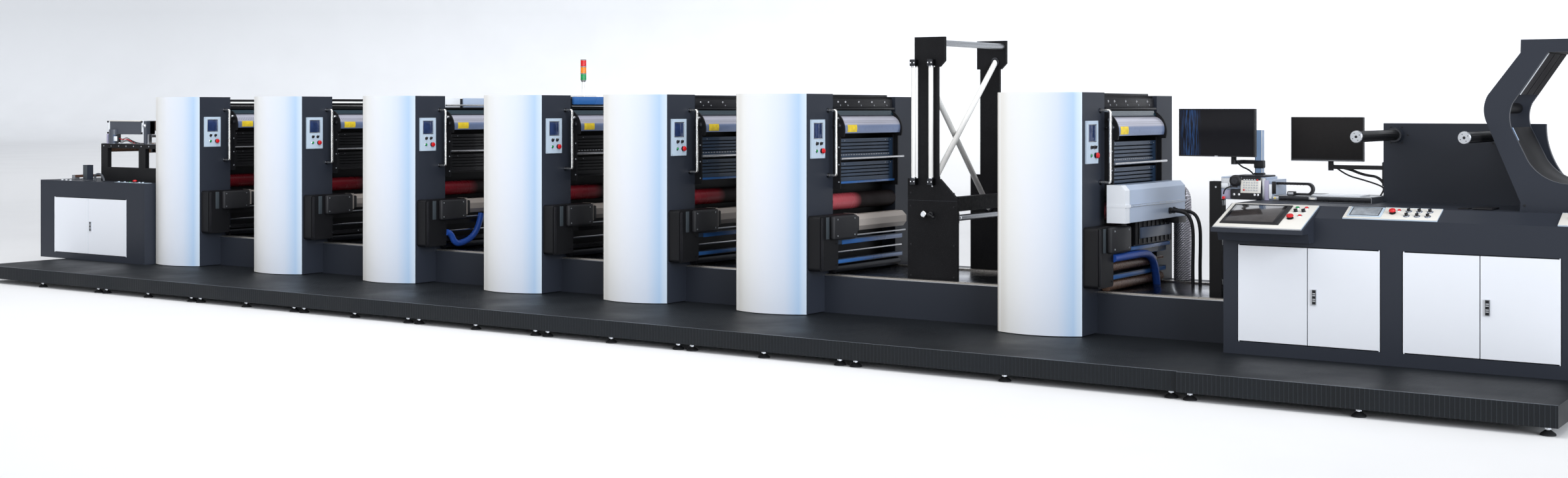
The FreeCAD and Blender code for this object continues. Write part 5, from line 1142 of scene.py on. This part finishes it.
class PRESS_OT_monitors(bpy.types.Operator):
    """Adds the glass, frames and cables of both monitors"""

    bl_idname = "press.monitors"
    bl_label = "Monitors"

    def execute(self, context):
        kit = Kit("MonitorLeft", "monitor_left")
        kit["black plastic"].ring((13832, 457, 1571), (14427, 470, 1933), 9, X, Z)
        # This glass carries a painted window reflection.
        kit["monitor glass"].block((13840, 459.6, 1579), (14419, 462, 1925), 0.6)
        kit["black plastic"].block((13980, 500, 1640), (14280, 516, 1860), 8)
        kit["satin steel"].block((14116, 456.4, 1573.5), (14140, 457.2, 1578.5))
        kit.make()
        kit = Kit("MonitorRight", "monitor_right")
        kit["matt screen"].block((14607, 760.2, 1560), (15133, 762, 1866), 0.5)
        kit["black plastic"].ring((14601, 759, 1541), (15139, 764, 1871), 5, X, Z)
        kit["satin steel"].block((14604, 758, 1544), (15136, 759.4, 1547), 0.4)
        kit["black plastic"].block((14730, 800, 1610), (15010, 816, 1800), 8)
        kit.make()
        arms = Kit("MonitorArms")
        arms["cable"].tube(smooth_path([
            (14236, 540, 1560), (14262, 590, 1500), (14300, 690, 1470), (14330, 716, 1430),
            (14340, 716, 1421)]), 6)
        arms["black plastic"].block((14326, 716, 1480), (14396, 786, 1540), 8)
        arms["black plastic"].block((14326, 716, 1421), (14396, 786, 1446), 5)
        arms["slate panel"].block((14333.5, 723.5, 1446), (14338, 728, 1768), 1)
        arms["pale case"].block((14383, 723.5, 1446), (14388.4, 728, 1768), 1)
        arms["black plastic"].tube(smooth_path([
            (14900, 850, 1500), (14990, 866, 1490), (15110, 870, 1440), (15230, 862, 1430),
            (15262, 850, 1380)]), 10)
        arms["cable"].tube(smooth_path([
            (14880, 850, 1520), (14960, 880, 1440), (15120, 880, 1400), (15250, 870, 1360),
            (15262, 860, 1330), (15240, 840, 1290)]), 6)
        arms["black plastic"].block((15250, 842, 1360), (15292, 880, 1540), 8)
        arms["black plastic"].turned((14870, 860, 1470), UP, [(0, 20), (50, 20)], 24)
        arms.make()
        return {"FINISHED"}


class PRESS_OT_inspection(bpy.types.Operator):
    """Builds up the inspection head, keypad and web table"""

    bl_idname = "press.inspection"
    bl_label = "Inspection station"

    def execute(self, context):
        kit = Kit("Inspection")
        kit["satin steel"].block((14156, 486, 1330), (14228, 500, 1412), 4)
        kit["pale case"].block((14158, 480, 1340), (14214, 488, 1372), 3)
        kit["lilac case"].block((14160, 492, 1256), (14226, 500, 1322), 3)
        kit["black plastic"].turned(
            (14270, 500, 1392), NEAR, [(0, 44), (30, 44), (36, 38), (40, 20)], 36)
        kit["black steel"].turned((14270, 462, 1392), NEAR, [(0, 26), (4, 24)], 28)
        kit["black plastic"].block((14232, 474, 1252), (14470, 500, 1330), 6)
        for x in (14262, 14300, 14420, 14446):
            kit.bolt((x, 474, 1290), NEAR, 6)
        kit["black plastic"].block((14240, 505, 1420), (14480, 770, 1432), 5)
        pad, out = slope_place(((470, 1302), (488, 1418)))
        kit["panel cream"].block((14313, 0, 1), (14467, 118, 5), 3, pad)
        for row in range(5):
            for column in range(6):
                x = 14332 + column * 20
                up = 16 + row * 19
                finish = "red" if (row, column) in ((0, 0), (4, 5)) else "key grey"
                kit[finish].block((x, up, 5), (x + 13, up + 12, 7.5), 1, pad)
        kit["satin steel"].block((14470, 486, 1256), (14500, 500, 1416), 4)
        kit["lilac case"].block((14489, 484, 1250), (14524, 500, 1400), 4)
        kit["pale case"].block((14524, 480, 1262), (14546, 500, 1372), 4)
        kit["black plastic"].block((14546, 486, 1300), (14575, 500, 1392), 4)
        kit["satin steel"].block((14553, 478, 1252), (14600, 499, 1284), 3)
        kit["yellow"].block((14566, 477.2, 1266), (14578, 478.4, 1276))
        kit["red"].turned((14180, 480, 1262), NEAR, [(0, 12), (12, 12), (16, 8)], 20)
        kit["cable"].tube(smooth_path([
            (14180, 474, 1290), (14190, 452, 1330), (14250, 456, 1352), (14290, 470, 1345)]), 5)
        for step in range(9):
            x = 14572 + step * 24
            kit["black steel"].block((x, 541, 1366), (x + 3, 545.2, 1386), 0.5)
        kit["black plastic"].block((14660, 488, 1290), (14716, 536, 1322), 4)
        kit["satin steel"].block((14668, 484, 1296), (14708, 488, 1316), 2)
        kit["black steel"].block((14562, 492, 1252), (15270, 500, 1288), 2)
        kit["satin steel"].block((14562, 502, 1290), (15270, 798, 1292.5), 0.6)
        for step in range(5):
            lean = step % 2 * 4
            kit["white paint"].block(
                (14905 + lean, 520, 1292.6 + step * 2), (15190 - lean, 760, 1294.2 + step * 2), 0.5)
        kit["satin steel"].block((14820, 488, 1262), (14880, 498, 1284), 3)
        kit["panel cream"].block((14832, 486, 1266), (14866, 489, 1280), 1.5)
        kit["satin steel"].turned((14110, 499, 1340), NEAR, [(0, 8), (3, 7)], 16)
        for z in (600, 900, 1200):
            kit["satin steel"].block((14152.5, 512, z), (14156, 582, z + 40), 1)
        kit.make()
        return {"FINISHED"}


# ---------------------------------------------------------------- rewind
class PRESS_OT_rewind(bpy.types.Operator):
    """Finishes the rewind shafts, the backboard and the roll guard"""

    bl_idname = "press.rewind"
    bl_label = "Rewind"

    def execute(self, context):
        for tag, x in SHAFTS:
            kit = Kit("Shaft_" + tag, "rewind_shaft_" + tag)
            kit["satin steel"].turned(
                (x, -186, SHAFT_Z), NEAR, [(0, 42.6), (12, 42.6), (15.4, 39), (15.8, 12)], 40)
            kit["black plastic"].turned((x, -201.6, SHAFT_Z), NEAR, [(0, 10), (1.2, 8)], 20)
            for step in range(4):
                angle = math.pi / 2 * step + 0.5
                kit["black plastic"].turned(
                    (x + 26 * math.cos(angle), -201.5, SHAFT_Z + 26 * math.sin(angle)), NEAR,
                    [(0, 3.4), (1, 3)], 12)
            for step in range(6):
                angle = math.pi / 3 * step + 0.3
                side, z = x + 37.4 * math.cos(angle), SHAFT_Z + 37.4 * math.sin(angle)
                kit["rubber"].tube([(side, -150, z), (side, 640, z)], 3, 8)
            kit.make()
        kit = Kit("Rewind")
        for _, x in SHAFTS:
            kit["black steel"].turned(
                (x, 730, SHAFT_Z), NEAR, [(0, 54), (4, 54), (6, 49), (6.4, 40.5)], 36)
            for step in range(6):
                angle = math.pi / 3 * step
                kit.bolt((x + 80 * math.cos(angle), 800, SHAFT_Z + 66 * math.sin(angle)),
                         NEAR, 4, "black plastic")
        # The roll guard: its left side, the unit of its outline, its narrowest and highest points.
        left = PRESS_END - 720
        arm = 86
        waist = 1937
        crown = 2394
        x1, z1 = left + arm * 4.66, crown - arm - 4
        x2, z2 = left + arm * 2.56, waist + arm * 1.1
        for y0, y1 in ((118, 300), (316, 500), (516, 684)):
            kit["guard film"].plate([(x1, z1), (x2, z2), (x2 + 5, z2 - 2), (x1 + 5, z1 - 2)], y0, y1)
        kit["pale case"].plate([
            (x1 + 1, z1 - 1), (x2 + 1, z2 - 3), (x2 + 6, z2 - 5), (x1 + 6, z1 - 3)], 110.5, 117)
        x, z = left + arm * 6.1, waist - arm * 5.8
        end, low = PRESS_END - 1, waist - arm * 5.95
        kit["steel blue"].plate([(x, z + 1), (end, low + 1), (end, low + 4), (x, z + 4)], 112, 688)
        kit["steel blue"].plate([
            (left + arm * 2.0, waist - arm * 1.5), (left + arm * 2.45, waist - arm * 2.5),
            (left + arm * 2.5, waist - arm * 2.5), (left + arm * 2.05, waist - arm * 1.5)], 110.5, 130)
        kit["black steel"].turned((left + arm, 112, waist), -NEAR, [(0, 44), (6, 44), (8, 37)], 32)
        for x, z in ((left + arm * 3.0, 1290), (left + arm * 7.6, 1290), (left + arm * 7.6, 1400)):
            kit.bolt((x, 80, z), NEAR, 5, "black plastic")
        kit["black plastic"].block((16060, 92, 1251), (16190, 300, 1262), 4)
        kit["black plastic"].block((15960, 120, 1251), (16030, 220, 1257), 3)
        kit.make()
        return {"FINISHED"}


# ---------------------------------------------------------------- infeed
class PRESS_OT_infeed(bpy.types.Operator):
    """Fits the web guide, its motor, the rollers, wires and buttons of the infeed"""

    bl_idname = "press.infeed"
    bl_label = "Infeed"

    def execute(self, context):
        kit = Kit("Infeed")
        size = context.scene.press_sizes.button * 1000
        for x in (966, 1598):
            kit["pale case"].block((x, 30, 1636), (x + 28, 190, 1796), 4)
            for z in (1652, 1780):
                kit["black plastic"].turned((x + 14, 30, z), NEAR, [(0, 11), (10, 11), (13, 7)], 20)
        kit["lilac case"].block((972, 10, 1528), (1008, 60, 1640), 5)
        kit["panel cream"].block((994, 30, 1784), (1598, 60, 1797), 3)
        kit["satin steel"].block((980, 34, 1634), (1612, 44, 1640), 2)
        kit["blue case"].block((1010, 4, 1540), (1120, 40, 1632), 6)
        kit["pale case"].block((1120, 0, 1556), (1176, 40, 1612), 5)
        kit["black plastic"].block((1176, 8, 1544), (1206, 40, 1640), 4)
        for number, (z, end) in enumerate(((1600, 1560), (1586, 1600), (1572, 1640), (1560, 1500))):
            kit["cable"].tube(smooth_path([
                (1206, 24, z), (1260, 10 - 6 * number, z - 30), (1350, 14, z + 8),
                (1440, 22, 1560 - 8 * number), (end, 36, 1534)]), 4, 8)
        kit["red"].tube(smooth_path([
            (1206, 20, 1590), (1280, 0, 1570), (1380, 6, 1590), (1480, 30, 1532)]), 3.4, 8)
        kit["brown roller"].turned(
            (1651, 200, 1735), -NEAR, [(0, 20), (2, 61), (1030, 61), (1032, 20)], 36)
        kit["satin steel"].turned((1651, 40, 1735), NEAR, [(0, 24), (6, 24), (10, 18), (24, 12)], 28)
        for y in (40, 1240):
            kit["satin steel"].block((832, y + 4, 1525), (1970, y + 46, 1531), 2)
        for x in range(880, 1960, 140):
            kit.bolt((x, 40, 1500), NEAR, 5, "satin steel")
        kit["black steel"].turned((890, 92, 1477), -NEAR, [(0, 50), (8, 50), (10, 49)], 36)
        kit["satin steel"].tube([(1700, 90, 1620), (1700, 1240, 1620)], 16, 24)
        kit["beam"].tube([(1760, 90, 1500), (1760, 1240, 1500)], 40, 32)
        kit["black steel"].block((1752, 44, 1440), (1776, 88, 1524), 3)
        kit["satin steel"].block((1690, 44, 1526), (1712, 88, 1640), 3)
        kit["brown steel"].block((256, 41, 1120), (320, 1239, 1149), 3)
        kit["satin steel"].block((330, 120, 1095), (600, 150, 1101), 2)
        for x in (340, 420, 500):
            kit["pale case"].turned((x, -140, 1095), UP, [(0, 14), (8, 14), (10, 10)], 20)
        kit["slate panel"].block((612, -51, 1110), (688, -49.5, 1270), 2)
        kit["satin steel"].block((606, -54, 1095), (694, 34, 1101), 2)
        kit["case hose"].tube(smooth_path([
            (860, -60, 1096), (850, -60, 1140), (880, -60, 1172), (950, -60, 1178), (1010, -60, 1150),
            (1030, -60, 1096)]), 13, 18)
        for x in (1410, 1520, 1618, 1787, 1850):
            kit.button((x, -130, 1095), UP, "green" if x == 1618 else "panel face", size)
        kit.stop((1703, -130, 1095), UP, size * 1.75)
        kit["panel face"].block((1380, -172, 1095), (1960, -88, 1097.5), 2)
        kit.make()
        return {"FINISHED"}


class PRESS_OT_signal(bpy.types.Operator):
    """Colours the signal lamp's three lenses"""

    bl_idname = "press.signal"
    bl_label = "Signal lamp"

    def execute(self, context):
        kit = Kit("Signal")
        x, y = 7494, 860
        base = 2034 + 28 + 150
        for number, finish in enumerate(("green", "amber", "red")):
            z = base + 68 * number
            kit[finish].turned((x, y, z + 2), UP, [(0, 28.5), (58, 28.5), (62, 26)], 32)
            kit["black plastic"].turned((x, y, z + 62), UP, [(0, 28.6), (6, 28.6)], 32)
        kit["satin steel"].turned((x, y, base - 14), UP, [(0, 18), (8, 24), (15, 27)], 28)
        kit["black plastic"].block((7404, 769, 2036), (7584, 951, 2050), 3)
        kit.make()
        return {"FINISHED"}


# ---------------------------------------------------------------- floor, light and camera
CAMERA_PLACE = Vector((10.507, -12.604, 1.938))
CAMERA_DIRECTION = Vector((-0.565, 0.825, 0.0))
CAMERA_LENS = 40.35
CAMERA_SHIFT = -0.0835
# The sweep in metres from the camera: behind it, up to the curve, the curve, its height and sides.
SWEEP_BEHIND, SWEEP_REACH, SWEEP_RADIUS, SWEEP_TOP, SWEEP_SIDE = 90.0, 100.0, 12.0, 60.0, 130.0


def make_sweep():
    """The pale floor that curves up into the backdrop far behind the press, with painted shade greying
    the backdrop towards the left and a painted glow on the floor far off to the right.
    """
    forward = CAMERA_DIRECTION.normalized()
    side = Vector((-forward.y, forward.x, 0))
    shape = Shape()
    profile = [(-SWEEP_BEHIND, 0.0), (SWEEP_REACH, 0.0)]
    for step in range(1, 13):
        angle = math.pi / 2 * step / 12
        profile.append((
            SWEEP_REACH + SWEEP_RADIUS * math.sin(angle), SWEEP_RADIUS - SWEEP_RADIUS * math.cos(angle)))
    profile.append((SWEEP_REACH + SWEEP_RADIUS, SWEEP_TOP))
    start = Vector((CAMERA_PLACE.x, CAMERA_PLACE.y, 0))
    rows = []
    for reach, height in profile:
        middle = start + forward * reach + Vector((0, 0, height))
        rows.append([shape.bm.verts.new(middle + side * aside) for aside in (-SWEEP_SIDE, SWEEP_SIDE)])
    for low, high in zip(rows, rows[1:]):
        shape.bm.faces.new((low[0], low[1], high[1], high[0]))
    mesh = bpy.data.meshes.new("Floor")
    shape.bm.to_mesh(mesh)
    shape.bm.free()
    mesh.shade_smooth()
    floor = bpy.data.objects.new("Floor", mesh)
    bpy.context.scene.collection.objects.link(floor)
    finish = Finish("StudioFloor")
    pale = finish.ramp(finish.noise(0.4), [(0.3, (0.83, 0.83, 0.83)), (0.7, (0.87, 0.87, 0.87))])
    finish.roughness_from(finish.span(finish.noise(2.0), 0.7, 0.85))
    x, y, z = finish.axes()

    def along(direction):
        parts = [finish.math("MULTIPLY", x, direction.x), finish.math("MULTIPLY", y, direction.y)]
        return finish.math("SUBTRACT", finish.math("ADD", *parts), start.dot(direction))

    # Painted light: the floor glows more with distance towards the right, and the wall is painted grey
    # towards the left as painted shade.
    far = finish.span(along(forward), 0.0, 0.38, 18.0, 44.0)
    share = finish.span(along(-side), 0.0, 1.0, -40.0, 12.0)
    wall = finish.span(z, 0.0, 1.0, 0.0, 8.0)
    dim = finish.math("MULTIPLY", wall, finish.math("SUBTRACT", 1.0, share))
    finish.colour_from(finish.mix(dim, pale, (0.60, 0.60, 0.60)))
    glow = finish.math("MULTIPLY", share, finish.math("SUBTRACT", 1.0, wall))
    finish.links.new(finish.math("MULTIPLY", far, glow), finish.shader.inputs["Emission Strength"])
    finish.shader.inputs["Emission Color"].default_value = (1.0, 1.0, 1.0, 1.0)
    mesh.materials.append(finish.material)


def soft_light(name, place, target, size, power, tint=(1, 1, 1)):
    """A large soft light that looks at a point."""
    data = bpy.data.lights.new(name, "AREA")
    data.shape = "RECTANGLE"
    data.size, data.size_y = size
    data.energy = power
    data.color = tint
    lamp = bpy.data.objects.new(name, data)
    lamp.location = place
    lamp.rotation_euler = (Vector(target) - Vector(place)).to_track_quat("-Z", "Y").to_euler()
    bpy.context.scene.collection.objects.link(lamp)


class PRESS_OT_stage(bpy.types.Operator):
    """Makes the floor, the soft studio light and the camera"""

    bl_idname = "press.stage"
    bl_label = "Stage"

    def execute(self, context):
        make_sweep()
        world = bpy.data.worlds.new("StudioWorld")
        context.scene.world = world
        world.use_nodes = True
        sky = world.node_tree.nodes["Background"]
        sky.inputs["Color"].default_value = (0.93, 0.95, 1.0, 1)
        sky.inputs["Strength"].default_value = 0.46
        soft_light("Overhead", (0, -3, 9), (0, 0, 0), (20, 7), 800)
        soft_light("RightSide", (18, -9, 5), (2, 0, 1), (7, 6), 400, (0.93, 0.96, 1.0))
        soft_light("Front", (0, -15, 5), (0, 0, 1), (20, 5), 360)
        sun = bpy.data.lights.new("SideSun", "SUN")
        sun.energy = 2.6
        sun.angle = math.radians(40)
        sun.color = (0.88, 0.93, 1.0)
        lamp = bpy.data.objects.new("SideSun", sun)
        lamp.rotation_euler = Vector((-1.0, 0.5, -0.3)).to_track_quat("-Z", "Y").to_euler()
        context.scene.collection.objects.link(lamp)
        data = bpy.data.cameras.new("Camera")
        data.lens = CAMERA_LENS
        data.sensor_width = 36
        data.sensor_fit = "HORIZONTAL"
        data.shift_y = CAMERA_SHIFT
        data.clip_end = 400
        camera = bpy.data.objects.new("Camera", data)
        camera.location = CAMERA_PLACE
        camera.rotation_euler = CAMERA_DIRECTION.to_track_quat("-Z", "Y").to_euler()
        context.scene.collection.objects.link(camera)
        context.scene.camera = camera
        context.scene.view_settings.view_transform = "Standard"
        return {"FINISHED"}


# ---------------------------------------------------------------- panel and registration
STEPS = (
    "press.stage",
    "press.finishes",
    "press.tower_controls",
    "press.grab_handles",
    "press.tower_guards",
    "press.tower_tops",
    "press.drive_covers",
    "press.bed_decks",
    "press.turning_frame",
    "press.lamp_unit",
    "press.hoses",
    "press.footboard",
    "press.console_controls",
    "press.cabinet_doors",
    "press.monitors",
    "press.inspection",
    "press.rewind",
    "press.infeed",
    "press.signal",
)


class PRESS_PT_looks(bpy.types.Panel):
    """Lists the steps that dress the press"""

    bl_idname = "PRESS_PT_looks"
    bl_label = "Label Press"
    bl_space_type = "VIEW_3D"
    bl_region_type = "UI"
    bl_category = "Label Press"

    def draw(self, context):
        for step in STEPS:
            self.layout.operator(step)
        for group in (context.scene.press_colours, context.scene.press_sizes):
            for name in group.__annotations__:
                self.layout.prop(group, name)


CLASSES = (
    PressColours, PressSizes, PRESS_OT_stage, PRESS_OT_finishes, PRESS_OT_tower_controls,
    PRESS_OT_grab_handles, PRESS_OT_tower_guards, PRESS_OT_tower_tops, PRESS_OT_drive_covers,
    PRESS_OT_bed_decks, PRESS_OT_turning_frame, PRESS_OT_lamp_unit, PRESS_OT_hoses,
    PRESS_OT_footboard, PRESS_OT_console_controls, PRESS_OT_cabinet_doors, PRESS_OT_monitors,
    PRESS_OT_inspection, PRESS_OT_rewind, PRESS_OT_infeed, PRESS_OT_signal, PRESS_PT_looks,
)


def register():
    """Adds the classes and their settings."""
    for kind in CLASSES:
        bpy.utils.register_class(kind)
    bpy.types.Scene.press_colours = bpy.props.PointerProperty(type=PressColours)
    bpy.types.Scene.press_sizes = bpy.props.PointerProperty(type=PressSizes)


def unregister():
    """Removes them again."""
    del bpy.types.Scene.press_sizes
    del bpy.types.Scene.press_colours
    for kind in reversed(CLASSES):
        bpy.utils.unregister_class(kind)


def run_step(idname):
    """Runs one operator by its name."""
    group, name = idname.split(".")
    getattr(getattr(bpy.ops, group), name)()


def main():
    """Dresses the press from start to end."""
    register()
    for step in STEPS:
        run_step(step)


if __name__ == "__main__":
    main()
